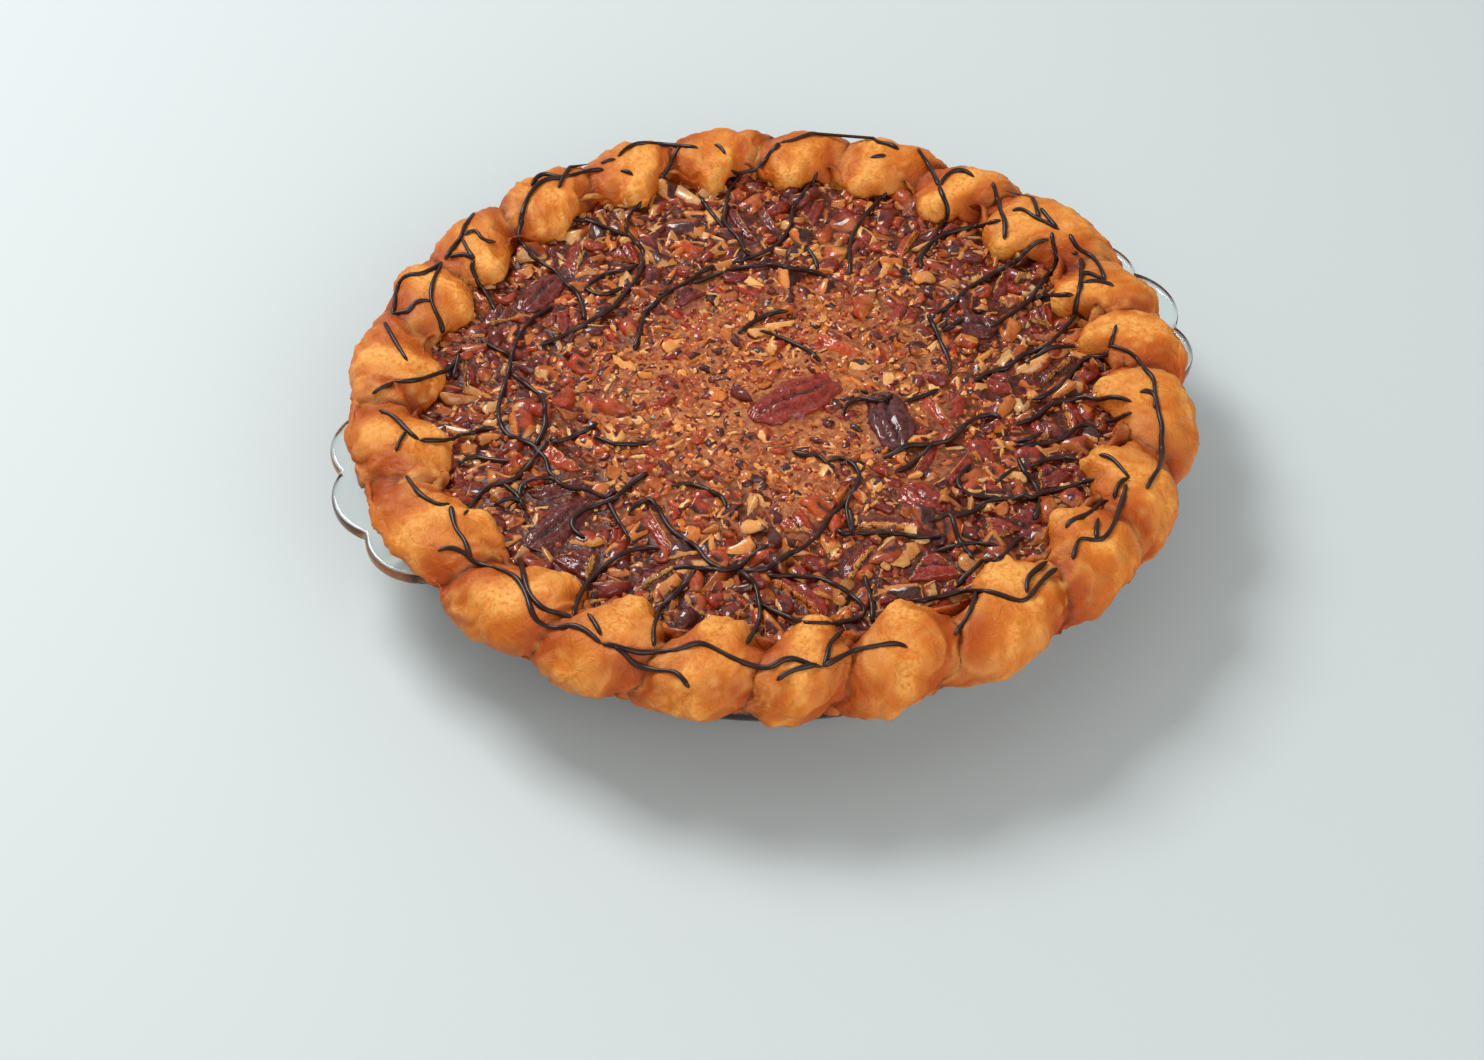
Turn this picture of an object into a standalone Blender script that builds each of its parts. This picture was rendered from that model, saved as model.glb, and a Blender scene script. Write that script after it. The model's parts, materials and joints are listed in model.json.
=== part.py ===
"""A pecan pie baked in a clear glass pie dish.

The dish is a turned glass bowl with two scalloped ears. The pastry lines it, laps over its rim and
stands up in a hand-pinched fluted edge. The nut filling fills the pastry, and the larger pecan
halves, slivers and chunks are sunk into its top. Metres, +Z up, origin at the middle of the dish's
underside, +X through the middle of one ear.
"""

import math
import random

import bmesh
import bpy
from mathutils import Matrix, Vector, noise

MM = 0.001
GAP = 0.3 * MM  # air left between pieces that touch

# Glass dish
RIM_RADIUS = 123.5 * MM
RIM_TOP = 36.5 * MM
RIM_THICKNESS = 4.2 * MM
GLASS = 4.5 * MM  # wall and floor
BASE_RADIUS = 97.0 * MM  # flat underside
HEEL_RADIUS = 106.0 * MM
HEEL_HEIGHT = 9.0 * MM
WALL_TOP_RADIUS = 118.5 * MM
DISH_STEPS = 52

# Ears, each a plate with three scallops
EAR_THICKNESS = 3.4 * MM
EAR_DROP = 0.4 * MM  # ear's top below the rim's top
EAR_ROOT = 119.5 * MM  # how deep the plate runs into the rim
EAR_SCALLOPS = ((-9.8, 117.0 * MM, 18.0 * MM), (0.0, 118.0 * MM, 20.0 * MM), (9.8, 117.0 * MM, 18.0 * MM))
EAR_HALF_ANGLE = 17.5
EAR_MARGIN = 11.0  # the pastry's hem is lifted off an ear from this far past its ends
EAR_FADE = 6.0
EAR_POINTS = 17

# Pastry
PASTRY = 4.2 * MM  # floor and wall
CREST_RADIUS = 116.5 * MM
CREST_HEIGHT = 46.0 * MM
CREST_SWAY = 3.4 * MM  # how far a flute carries the crest in or out
RIDGE_HEIGHT = 1.3 * MM  # half the climb from a valley of the twisted edge to its ridge
RIDGE_SLANT = 0.5  # flutes that a ridge passes on its way from the outer side to the inner
INNER_LIP_RADIUS = 104.0 * MM
INNER_LIP_SWAY = 4.6 * MM
OUTER_LIP_RADIUS = 128.6 * MM
OUTER_LIP_SWAY = 2.9 * MM
HEM_HEIGHT = 29.5 * MM  # the pastry's lowest edge outside the rim
HEM_SWAY = 1.6 * MM
STEPS_PER_FLUTE = 4
# Where a thumb pushed the edge inwards, in degrees from +X. The pinches are a hand's, so uneven.
PINCHES = (
    2.5, 24.0, 37.0, 53.0, 65.0, 80.5, 94.5, 111.5, 128.0, 139.0, 159.5, 175.5,
    196.5, 215.5, 229.0, 244.0, 256.0, 270.0, 289.5, 305.0, 319.5, 338.0, 352.5,
)  # fmt: skip

# Filling
FILLING_RADIUS = 108.6 * MM
FILLING_EDGE_HEIGHT = 36.8 * MM
FILLING_DOME = 2.4 * MM  # how much higher the middle is
FILLING_RINGS = 5
FILLING_STEPS = 32
LUMP_SIZE = 17.0 * MM
LUMP_HEIGHT = 0.9 * MM

# Large nuts: x and y in mm, heading in degrees, length and width in mm.
HALVES = (
    (5, -8, 12, 32, 18), (29, -27, 82, 27, 15), (25.5, -61, -62, 18, 12), (-78, -32, 30, 27, 12),
    (-51.5, 68, 38, 21, 12), (71, 5, -35, 15, 12),
)  # fmt: skip
SLIVERS = (
    (34, -44, 50, 17, 6), (40.5, -52.5, 40, 15, 6), (44, -29, 96, 19, 6), (12, -67, -20, 22, 7),
    (87, -21, 30, 17, 7), (-3, -78, 42, 19, 7), (-60, -63, 25, 17, 7), (-73, -18, 2, 21, 8),
    (-70, -5.5, -62, 18, 9), (-52, -46, 96, 21, 6), (-85, 38, 75, 16, 6), (-35, 82, 65, 24, 8),
    (29.5, 79, 92, 21, 6), (20, 78, 95, 19, 6), (87, 20.5, 52, 20, 7), (67, 51, 48, 17, 6),
    (27, 11, -52, 17, 8), (-23, -84, -62, 22, 9), (82.5, -43, 82, 17, 8),
)  # fmt: skip
CHUNKS = (
    (18, -87, -10, 19, 12), (65, -64, 10, 13, 11), (67.5, -22, -40, 12, 10), (71.5, -46, 80, 11, 10),
    (42, -80, -50, 13, 9), (53, -76.5, -35, 11, 9), (-78, -49.5, -60, 18, 12), (-66.5, -42.5, 60, 12, 9),
    (-14, -58, 100, 14, 10), (-67, 63, 60, 14, 11), (-20, 78, 85, 14, 9), (-52.5, 52.5, 70, 15, 9),
    (-9, 52, 15, 15, 9), (52, 17, 50, 15, 9), (93, 3, 80, 12, 9), (44, 78.5, 55, 17, 9),
)  # fmt: skip
SUNK = 0.5  # share of a nut's height that is below the filling's top
HEIGHT_OF_HALF = 0.50  # height of a nut as a share of its width
HEIGHT_OF_SLIVER = 0.85
HEIGHT_OF_CHUNK = 0.62

PASTRY_COLOUR = (0.62, 0.27, 0.07)
FILLING_COLOUR = (0.19, 0.055, 0.02)
PECAN_COLOUR = (0.25, 0.05, 0.02)
GLASS_COLOUR = (0.86, 0.93, 0.92)


def clear_scene():
    for obj in list(bpy.data.objects):
        bpy.data.objects.remove(obj, do_unlink=True)


def new_collection(name):
    collection = bpy.data.collections.new(name)
    bpy.context.scene.collection.children.link(collection)
    return collection


def new_material(name, colour, roughness, transmission=0.0):
    material = bpy.data.materials.new(name)
    material.use_nodes = True
    shader = material.node_tree.nodes["Principled BSDF"]
    shader.inputs["Base Color"].default_value = (*colour, 1.0)
    shader.inputs["Roughness"].default_value = roughness
    shader.inputs["Metallic"].default_value = 0.0
    shader.inputs["Transmission Weight"].default_value = transmission
    return material


def add_object(name, data, collection, material=None):
    obj = bpy.data.objects.new(name, data)
    collection.objects.link(obj)
    if material:
        data.materials.append(material)
    return obj


def smooth_mesh(mesh, angle=40.0):
    mesh.shade_smooth()
    mesh.set_sharp_from_angle(angle=math.radians(angle))


def polar(radius, angle, height):
    return Vector((radius * math.cos(angle), radius * math.sin(angle), height))


def lofted_ring(name, section, angles):
    """A closed solid through one section for each angle. A section runs from axis to axis, as
    (radius, height) pairs, and its two ends are shared by all the sections."""
    mesh = bmesh.new()
    first, last = section(angles[0])[0], section(angles[0])[-1]
    start = mesh.verts.new((0.0, 0.0, first[1]))
    end = mesh.verts.new((0.0, 0.0, last[1]))
    columns = []
    for angle in angles:
        points = section(angle)[1:-1]
        columns.append([mesh.verts.new(polar(radius, angle, height)) for radius, height in points])
    for here, there in zip(columns, columns[1:] + columns[:1]):
        mesh.faces.new((start, there[0], here[0]))
        for row in range(len(here) - 1):
            mesh.faces.new((here[row], there[row], there[row + 1], here[row + 1]))
        mesh.faces.new((here[-1], there[-1], end))
    bmesh.ops.recalc_face_normals(mesh, faces=mesh.faces)
    data = bpy.data.meshes.new(name)
    mesh.to_mesh(data)
    mesh.free()
    return data


# ---------------------------------------------------------------- glass dish


def dish_profile():
    """The dish's half section, from the floor's middle, up the inside and down the outside."""
    inner_heel = HEEL_RADIUS - GLASS
    return (
        (0.0, GLASS),
        (BASE_RADIUS - 3.0 * MM, GLASS),
        (inner_heel - 1.6 * MM, GLASS + 1.3 * MM),
        (inner_heel, HEEL_HEIGHT),
        (WALL_TOP_RADIUS - GLASS, RIM_TOP - 1.6 * MM),
        (WALL_TOP_RADIUS - GLASS + 1.4 * MM, RIM_TOP),
        (RIM_RADIUS - 1.0 * MM, RIM_TOP),
        (RIM_RADIUS, RIM_TOP - 1.2 * MM),
        (RIM_RADIUS, RIM_TOP - RIM_THICKNESS + 1.0 * MM),
        (RIM_RADIUS - 1.0 * MM, RIM_TOP - RIM_THICKNESS),
        (WALL_TOP_RADIUS, RIM_TOP - RIM_THICKNESS - 1.0 * MM),
        (HEEL_RADIUS, HEEL_HEIGHT),
        (HEEL_RADIUS - 2.6 * MM, 3.0 * MM),
        (BASE_RADIUS, 0.0),
        (0.0, 0.0),
    )


def scallop_reach(angle):
    """How far from the axis the outermost of an ear's scallops reaches, at degrees off the ear."""
    reach = RIM_RADIUS - 1.0 * MM
    for place, centre, radius in EAR_SCALLOPS:
        off = math.radians(angle - place)
        inside = radius**2 - (centre * math.sin(off)) ** 2
        if inside > 0:
            reach = max(reach, centre * math.cos(off) + math.sqrt(inside))
    return reach


def build_ear(name, azimuth, collection):
    """A flat scalloped plate whose root lies inside the rim."""
    angles = [
        -EAR_HALF_ANGLE + 2 * EAR_HALF_ANGLE * step / (EAR_POINTS - 1) for step in range(EAR_POINTS)
    ]
    outline = [polar(scallop_reach(angle), math.radians(angle), 0.0) for angle in angles]
    outline += [polar(EAR_ROOT, math.radians(angle), 0.0) for angle in reversed(angles[::4])]
    curve = bpy.data.curves.new(name, "CURVE")
    curve.dimensions = "2D"
    curve.fill_mode = "BOTH"
    curve.extrude = EAR_THICKNESS / 2
    spline = curve.splines.new("POLY")
    spline.points.add(len(outline) - 1)
    for point, place in zip(spline.points, outline):
        point.co = (*place, 1.0)
    spline.use_cyclic_u = True
    guide = add_object(name + "_outline", curve, collection)
    guide.location.z = RIM_TOP - EAR_DROP - EAR_THICKNESS / 2
    guide.rotation_euler.z = math.radians(azimuth)
    bpy.context.view_layer.update()
    evaluated = guide.evaluated_get(bpy.context.evaluated_depsgraph_get())
    data = bpy.data.meshes.new_from_object(evaluated)
    mesh = bmesh.new()
    mesh.from_mesh(data)
    bmesh.ops.remove_doubles(mesh, verts=mesh.verts, dist=0.01 * MM)
    mesh.to_mesh(data)
    mesh.free()
    ear = add_object(name, data, collection)
    ear.matrix_world = guide.matrix_world.copy()
    bpy.data.objects.remove(guide, do_unlink=True)
    return ear


def build_dish(collection, cutters, material):
    profile = bpy.data.meshes.new("glass_dish")
    points = [(radius, 0.0, height) for radius, height in dish_profile()]
    profile.from_pydata(points, [(i, i + 1) for i in range(len(points) - 1)], [])
    dish = add_object("glass_dish", profile, collection, material)
    screw = dish.modifiers.new("Turn", "SCREW")
    screw.steps = screw.render_steps = DISH_STEPS
    screw.use_merge_vertices = True
    screw.merge_threshold = 0.0001
    screw.use_smooth_shade = True
    for number, azimuth in enumerate((0.0, 180.0), 1):
        ear = build_ear(f"ear_{number}", azimuth, cutters)
        ear.hide_render = True
        ear.display_type = "WIRE"
        union = dish.modifiers.new(ear.name, "BOOLEAN")
        union.operation = "UNION"
        union.object = ear
    return dish


# ---------------------------------------------------------------- pastry


def flute_angles():
    """Evenly shared steps between each pinch and the next, in radians."""
    angles = []
    for here, there in zip(PINCHES, PINCHES[1:] + (PINCHES[0] + 360.0,)):
        for step in range(STEPS_PER_FLUTE):
            angles.append(math.radians(here + (there - here) * step / STEPS_PER_FLUTE))
    return angles


def flute(angle, peak=0.5):
    """A wave with one rise for each flute: 1 at the share peak of the way from one pinch to the
    next, and -1 half a flute from there."""
    degrees = (math.degrees(angle) - PINCHES[0]) % 360.0 + PINCHES[0]
    for here, there in zip(PINCHES, PINCHES[1:] + (PINCHES[0] + 360.0,)):
        if degrees < there:
            break
    return math.cos(2 * math.pi * ((degrees - here) / (there - here) - peak))


def ridge(angle, across):
    """The twist's height above its mean, across running from 0 outside to 1 inside."""
    return RIDGE_HEIGHT * flute(angle, 0.5 + RIDGE_SLANT * across)


def over_ear(angle):
    """1 over an ear, 0 well away from both, with a smooth step between."""
    off = abs((math.degrees(angle) + 90.0) % 180.0 - 90.0)
    share = min(max((EAR_HALF_ANGLE + EAR_MARGIN - off) / EAR_FADE, 0.0), 1.0)
    return share * share * (3 - 2 * share)


def unevenness(angle, seed, size=1.0):
    """A smooth hand-made wobble round the pie, about -1 to 1."""
    return noise.noise(Vector((2.2 * math.cos(angle), 2.2 * math.sin(angle), seed))) * 1.8 * size


def pastry_section(angle):
    """The pastry's section: under the floor, up beside the glass, over the rim, then the fluted
    edge from hem to inner lip, and down the filling's side."""
    sway = flute(angle)
    ear = over_ear(angle)
    wobble = unevenness(angle, 3.0)
    hem = HEM_HEIGHT + HEM_SWAY * (unevenness(angle, 7.0) - 0.4 * sway)
    hem = hem + (RIM_TOP + GAP - hem) * ear
    hem_radius = OUTER_LIP_RADIUS - 2.4 * MM + 0.8 * OUTER_LIP_SWAY * sway
    outer = OUTER_LIP_RADIUS + OUTER_LIP_SWAY * sway + 0.8 * MM * wobble
    crest = CREST_RADIUS + CREST_SWAY * sway
    crest_height = CREST_HEIGHT + 0.8 * MM * wobble
    inner = INNER_LIP_RADIUS + INNER_LIP_SWAY * sway
    inner_heel = HEEL_RADIUS - GLASS - GAP
    wall_top = WALL_TOP_RADIUS - GLASS - GAP
    return (
        (0.0, GLASS + GAP),
        (BASE_RADIUS - 3.5 * MM, GLASS + GAP),
        (inner_heel - 2.0 * MM, GLASS + 2.0 * MM),
        (wall_top - 0.2 * MM, RIM_TOP - 1.4 * MM),
        (wall_top + 1.4 * MM, RIM_TOP + GAP),
        (RIM_RADIUS + GAP, RIM_TOP + GAP),
        (RIM_RADIUS + GAP, hem + 1.2 * MM * (1 - ear) + 0.01 * MM),
        (hem_radius, hem),
        (outer, hem + 0.45 * (CREST_HEIGHT - 4.0 * MM - hem)),
        (outer - 1.6 * MM, CREST_HEIGHT - 4.2 * MM),
        ((outer + crest) / 2, crest_height - 1.2 * MM + ridge(angle, 0.25)),
        (crest, crest_height + ridge(angle, 0.5)),
        (crest - 5.6 * MM, crest_height - 1.2 * MM + ridge(angle, 0.75)),
        (inner, CREST_HEIGHT - 4.4 * MM),
        (inner + 2.2 * MM, FILLING_EDGE_HEIGHT + 1.9 * MM),
        (FILLING_RADIUS + GAP, FILLING_EDGE_HEIGHT),
        (inner_heel - PASTRY, GLASS + PASTRY + 4.0 * MM),
        (BASE_RADIUS - 6.0 * MM, GLASS + PASTRY),
        (0.0, GLASS + PASTRY),
    )


# ---------------------------------------------------------------- filling


def filling_top(x, y):
    """Height of the filling's lumpy top."""
    share = min(math.hypot(x, y) / FILLING_RADIUS, 1.0)
    dome = FILLING_DOME * (1.0 - share**2)
    lumps = noise.noise(Vector((x / LUMP_SIZE, y / LUMP_SIZE, 1.7))) * LUMP_HEIGHT * 1.6
    return FILLING_EDGE_HEIGHT + dome + lumps * (1.0 - share**6)


def filling_section(angle):
    """The filling's section, from its underside's middle round to its top's middle."""
    inner_heel = HEEL_RADIUS - GLASS - PASTRY - 2 * GAP
    rings = [FILLING_RADIUS * (1 - ring / FILLING_RINGS) for ring in range(FILLING_RINGS)]
    top = []
    for radius in rings:
        place = polar(radius, angle, 0.0)
        top.append((radius, filling_top(place.x, place.y)))
    return (
        (0.0, GLASS + PASTRY + GAP),
        (BASE_RADIUS - 6.6 * MM, GLASS + PASTRY + GAP),
        (inner_heel, GLASS + PASTRY + 4.4 * MM),
        *top,
        (0.0, filling_top(0.0, 0.0)),
    )


# ---------------------------------------------------------------- nuts


def nut_mesh(name, length, width, height, kind, around, along, grow=0.0):
    """A pecan half, sliver or chunk along +X, made from a globe whose points are moved."""
    rnd = random.Random(f"{name}")
    lean = rnd.uniform(-0.22, 0.22)
    rough = rnd.uniform(0.0, 50.0)
    mesh = bmesh.new()
    bmesh.ops.create_uvsphere(mesh, u_segments=around, v_segments=along, radius=1.0)
    bmesh.ops.rotate(mesh, verts=mesh.verts, matrix=Matrix.Rotation(math.pi / 2, 3, "Y"))
    for vert in mesh.verts:
        x, y, z = vert.co
        if kind == "half":
            y *= 1.0 - 0.16 * x * x
            z *= 1.0 if z > 0 else 0.55
            z -= 0.34 * math.exp(-((y / 0.24) ** 2)) * (1.0 - x * x) * (z > 0)
        elif kind == "sliver":
            y = y * (1.0 - 0.12 * x * x) + lean * (x * x - 0.4)
        else:
            bulge = 1.0 + 0.24 * noise.noise(Vector((1.3 * x + rough, 1.3 * y, 1.3 * z)))
            x, y, z = (math.copysign(abs(c) ** 0.8, c) * bulge for c in (x, y, z))
        vert.co = (
            x * (length / 2 + grow),
            y * (width / 2 + grow),
            z * (height / 2 + grow),
        )
    bmesh.ops.recalc_face_normals(mesh, faces=mesh.faces)
    bmesh.ops.triangulate(mesh, faces=mesh.faces, quad_method="FIXED")
    data = bpy.data.meshes.new(name)
    mesh.to_mesh(data)
    mesh.free()
    data.shade_smooth()
    return data


def build_nuts(kind, rows, height_share, globe, collection, cutters, material):
    """One object for each row, sunk into the filling, and a slightly larger cutter for its bed."""
    for number, (x, y, heading, length, width) in enumerate(rows, 1):
        name = f"pecan_{kind}_{number:02d}"
        x, y, length, width = (value * MM for value in (x, y, length, width))
        height = width * height_share
        lift = filling_top(x, y) + height * (0.5 - SUNK)
        for owner, suffix, grow in ((collection, "", 0.0), (cutters, "_bed", 1.2 * GAP)):
            data = nut_mesh(name, length, width, height, kind, *globe, grow)
            nut = add_object(name + suffix, data, owner, material)
            nut.location = (x, y, lift)
            nut.rotation_euler.z = math.radians(heading)
        nut.hide_render = True
        nut.display_type = "WIRE"


def main():
    clear_scene()
    pie = new_collection("pecan_pie")
    cutters = new_collection("cutters")
    beds = new_collection("nut_beds")
    glass = new_material("clear_glass", GLASS_COLOUR, 0.03, transmission=1.0)
    pastry = new_material("baked_pastry", PASTRY_COLOUR, 0.55)
    custard = new_material("nut_filling", FILLING_COLOUR, 0.3)
    pecan = new_material("pecan", PECAN_COLOUR, 0.35)

    build_dish(pie, cutters, glass)

    crust = add_object("crust", lofted_ring("crust", pastry_section, flute_angles()), pie, pastry)
    smooth_mesh(crust.data)

    turn = [2 * math.pi * step / FILLING_STEPS for step in range(FILLING_STEPS)]
    filling = add_object("filling", lofted_ring("filling", filling_section, turn), pie, custard)
    build_nuts("half", HALVES, HEIGHT_OF_HALF, (10, 6), pie, beds, pecan)
    build_nuts("sliver", SLIVERS, HEIGHT_OF_SLIVER, (6, 4), pie, beds, pecan)
    build_nuts("chunk", CHUNKS, HEIGHT_OF_CHUNK, (7, 4), pie, beds, pecan)
    sinking = filling.modifiers.new("Nut beds", "BOOLEAN")
    sinking.operation = "DIFFERENCE"
    sinking.operand_type = "COLLECTION"
    sinking.collection = beds


main()
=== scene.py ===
"""A pecan pie in its clear glass dish: the finish of every surface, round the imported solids."""

import json
import math
import random

import bpy
import numpy as np
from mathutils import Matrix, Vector, noise
from mathutils.bvhtree import BVHTree

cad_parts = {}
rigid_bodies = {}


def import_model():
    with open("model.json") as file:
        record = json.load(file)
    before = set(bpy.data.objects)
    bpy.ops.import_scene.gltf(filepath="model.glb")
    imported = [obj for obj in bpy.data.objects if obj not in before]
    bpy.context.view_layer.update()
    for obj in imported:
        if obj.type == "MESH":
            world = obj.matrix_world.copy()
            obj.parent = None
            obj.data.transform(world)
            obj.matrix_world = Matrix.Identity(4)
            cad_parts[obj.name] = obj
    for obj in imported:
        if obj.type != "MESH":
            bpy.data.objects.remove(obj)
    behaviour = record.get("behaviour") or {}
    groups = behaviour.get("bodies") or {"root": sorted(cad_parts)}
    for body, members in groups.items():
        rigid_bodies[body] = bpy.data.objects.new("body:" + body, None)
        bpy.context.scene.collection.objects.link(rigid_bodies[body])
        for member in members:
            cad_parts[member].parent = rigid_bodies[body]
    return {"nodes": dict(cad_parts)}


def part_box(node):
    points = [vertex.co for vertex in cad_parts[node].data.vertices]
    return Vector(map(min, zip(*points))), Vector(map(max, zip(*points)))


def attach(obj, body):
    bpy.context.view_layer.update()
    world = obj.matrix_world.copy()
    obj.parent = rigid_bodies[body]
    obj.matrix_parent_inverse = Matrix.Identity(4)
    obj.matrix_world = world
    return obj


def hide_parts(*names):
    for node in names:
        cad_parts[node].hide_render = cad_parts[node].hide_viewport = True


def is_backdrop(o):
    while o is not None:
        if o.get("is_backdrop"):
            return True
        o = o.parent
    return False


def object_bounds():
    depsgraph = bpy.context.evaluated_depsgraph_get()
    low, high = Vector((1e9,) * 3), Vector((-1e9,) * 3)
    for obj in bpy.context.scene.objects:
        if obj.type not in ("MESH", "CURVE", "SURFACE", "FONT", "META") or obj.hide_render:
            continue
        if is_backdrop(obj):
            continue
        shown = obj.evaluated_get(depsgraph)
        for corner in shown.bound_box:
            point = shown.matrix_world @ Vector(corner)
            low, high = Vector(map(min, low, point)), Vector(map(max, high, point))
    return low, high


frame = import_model()
cad_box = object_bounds()


# ---------------------------------------------------------------- glass dish
# A pressed glass pie dish, turned in one piece: flat floor, flared wall and a narrow rim. At its two
# ears the rim runs out to the edge of three scallops, with shallow press lines beside each. The glass
# is clear, a little green at the edges.

MM = 0.001
TAU = 2 * math.pi
dish_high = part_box("glass_dish")[1]
RIM_RADIUS = dish_high.y
RIM_TOP = dish_high.z
EAR_TIP = dish_high.x
RIM_THICKNESS = 4.2 * MM
GLASS = 4.5 * MM
BASE_RADIUS = 97.0 * MM
HEEL_RADIUS = 106.0 * MM
HEEL_HEIGHT = 9.0 * MM
WALL_TOP_RADIUS = 118.5 * MM
RIM_ROUNDING = 1.3 * MM
UNDER_RIM = 1.0 * MM  # the slope where the wall meets the rim
INNER_HEEL = 7.0 * MM
INNER_HEEL_LIFT = 2.5 * MM
FLOOR_RING = 0.6
SCALLOPS = ((-9.8, 18.0 * MM), (0.0, 20.0 * MM), (9.8, 18.0 * MM))
PRESS_LINES = (-13.0, -5.0, 5.0, 13.0)
PRESS_LINE_WIDTH = 0.55
PRESS_LINE_DEPTH = 1.0 * MM
SIDE_SCALLOP_INSET = 1.0 * MM
DISH_COLUMNS = 600
FLANGE_POINTS = 9
ARC_POINTS = 8
RIM_POINTS = 5
WALL_POINTS = 4


def ear_angle(azimuth):
    """Degrees off the middle of the nearer ear."""
    return (math.degrees(azimuth) + 90.0) % 180.0 - 90.0


def rim_reach(azimuth):
    """How far out the rim goes: its own radius, or the edge of the outermost scallop."""
    off = ear_angle(azimuth)
    reach = RIM_RADIUS
    for place, radius in SCALLOPS:
        centre = EAR_TIP - SCALLOPS[1][1] - (SIDE_SCALLOP_INSET if place else 0.0)
        turn = math.radians(off - place)
        inside = radius**2 - (centre * math.sin(turn)) ** 2
        if inside > 0:
            reach = max(reach, centre * math.cos(turn) + math.sqrt(inside))
    return reach


def arc(centre, radii, start, end, count=ARC_POINTS):
    """Points (radius, height) on part of an ellipse, between two angles in degrees."""
    turns = [math.radians(start + (end - start) * i / (count - 1)) for i in range(count)]
    return [(centre[0] + radii[0] * math.cos(t), centre[1] + radii[1] * math.sin(t)) for t in turns]


def straight(start, end, count):
    """Points along a straight line, both ends left out."""
    shares = [i / (count + 1) for i in range(1, count + 1)]
    return [(start[0] + (end[0] - start[0]) * s, start[1] + (end[1] - start[1]) * s) for s in shares]


def dish_section(azimuth):
    """The dish's half section, from the underside's middle, up the outside and down the inside."""
    reach = rim_reach(azimuth)
    off = ear_angle(azimuth)
    press = sum(math.exp(-(((off - line) / PRESS_LINE_WIDTH) ** 2)) for line in PRESS_LINES)
    low = RIM_TOP - RIM_THICKNESS
    heel = HEEL_RADIUS - BASE_RADIUS
    rim = reach - RIM_ROUNDING
    rounding = (RIM_ROUNDING, RIM_ROUNDING)
    top_edge = (rim, RIM_TOP)
    lip = (WALL_TOP_RADIUS - GLASS + RIM_ROUNDING, RIM_TOP)
    flange = straight(top_edge, lip, FLANGE_POINTS)
    run_out = max((reach - RIM_RADIUS) / (EAR_TIP - RIM_RADIUS), 0.0)
    flange = [(r, z - press * run_out * PRESS_LINE_DEPTH * (r > RIM_RADIUS)) for r, z in flange]
    inner_heel = HEEL_RADIUS - GLASS
    return [
        (0.0, 0.0),
        (BASE_RADIUS * FLOOR_RING, 0.0),
        (BASE_RADIUS - 2 * MM, 0.0),
        *arc((BASE_RADIUS, HEEL_HEIGHT), (heel, HEEL_HEIGHT), -90, 0),
        *straight((HEEL_RADIUS, HEEL_HEIGHT), (WALL_TOP_RADIUS, low - UNDER_RIM), WALL_POINTS),
        (WALL_TOP_RADIUS, low - UNDER_RIM),
        (WALL_TOP_RADIUS + UNDER_RIM, low),
        *straight((WALL_TOP_RADIUS + UNDER_RIM, low), (rim, low), FLANGE_POINTS),
        *arc((rim, low + RIM_ROUNDING), rounding, -90, 0, RIM_POINTS),
        *arc((rim, RIM_TOP - RIM_ROUNDING), rounding, 0, 90, RIM_POINTS),
        *flange,
        *arc((lip[0], RIM_TOP - RIM_ROUNDING), rounding, 90, 180, RIM_POINTS),
        *straight((WALL_TOP_RADIUS - GLASS, RIM_TOP - 2 * MM), (inner_heel, HEEL_HEIGHT), WALL_POINTS),
        *arc((inner_heel - INNER_HEEL, HEEL_HEIGHT + INNER_HEEL_LIFT), (INNER_HEEL, INNER_HEEL), 0, -90),
        (BASE_RADIUS * FLOOR_RING, GLASS),
        (0.0, GLASS),
    ]


def lofted(name, section, columns):
    """A closed turned body through one section for each column. All sections start and end on the
    axis and share those two points."""
    sections = [section(TAU * column / columns) for column in range(columns)]
    rows = len(sections[0]) - 2
    points = [(0.0, 0.0, sections[0][0][1]), (0.0, 0.0, sections[0][-1][1])]
    for column, section_points in enumerate(sections):
        turn = TAU * column / columns
        for radius, height in section_points[1:-1]:
            points.append((radius * math.cos(turn), radius * math.sin(turn), height))
    faces = []
    for column in range(columns):
        here = 2 + column * rows
        there = 2 + (column + 1) % columns * rows
        faces.append((0, there, here))
        faces.append((1, here + rows - 1, there + rows - 1))
        for row in range(rows - 1):
            faces.append((here + row, there + row, there + row + 1, here + row + 1))
    mesh = bpy.data.meshes.new(name)
    mesh.from_pydata(points, [], faces)
    mesh.shade_smooth()
    return mesh


def place(name, mesh, material=None):
    """An object at the origin that shows this mesh."""
    piece = bpy.data.objects.new(name, mesh)
    bpy.context.scene.collection.objects.link(piece)
    if material:
        mesh.materials.append(material)
    return piece


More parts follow.
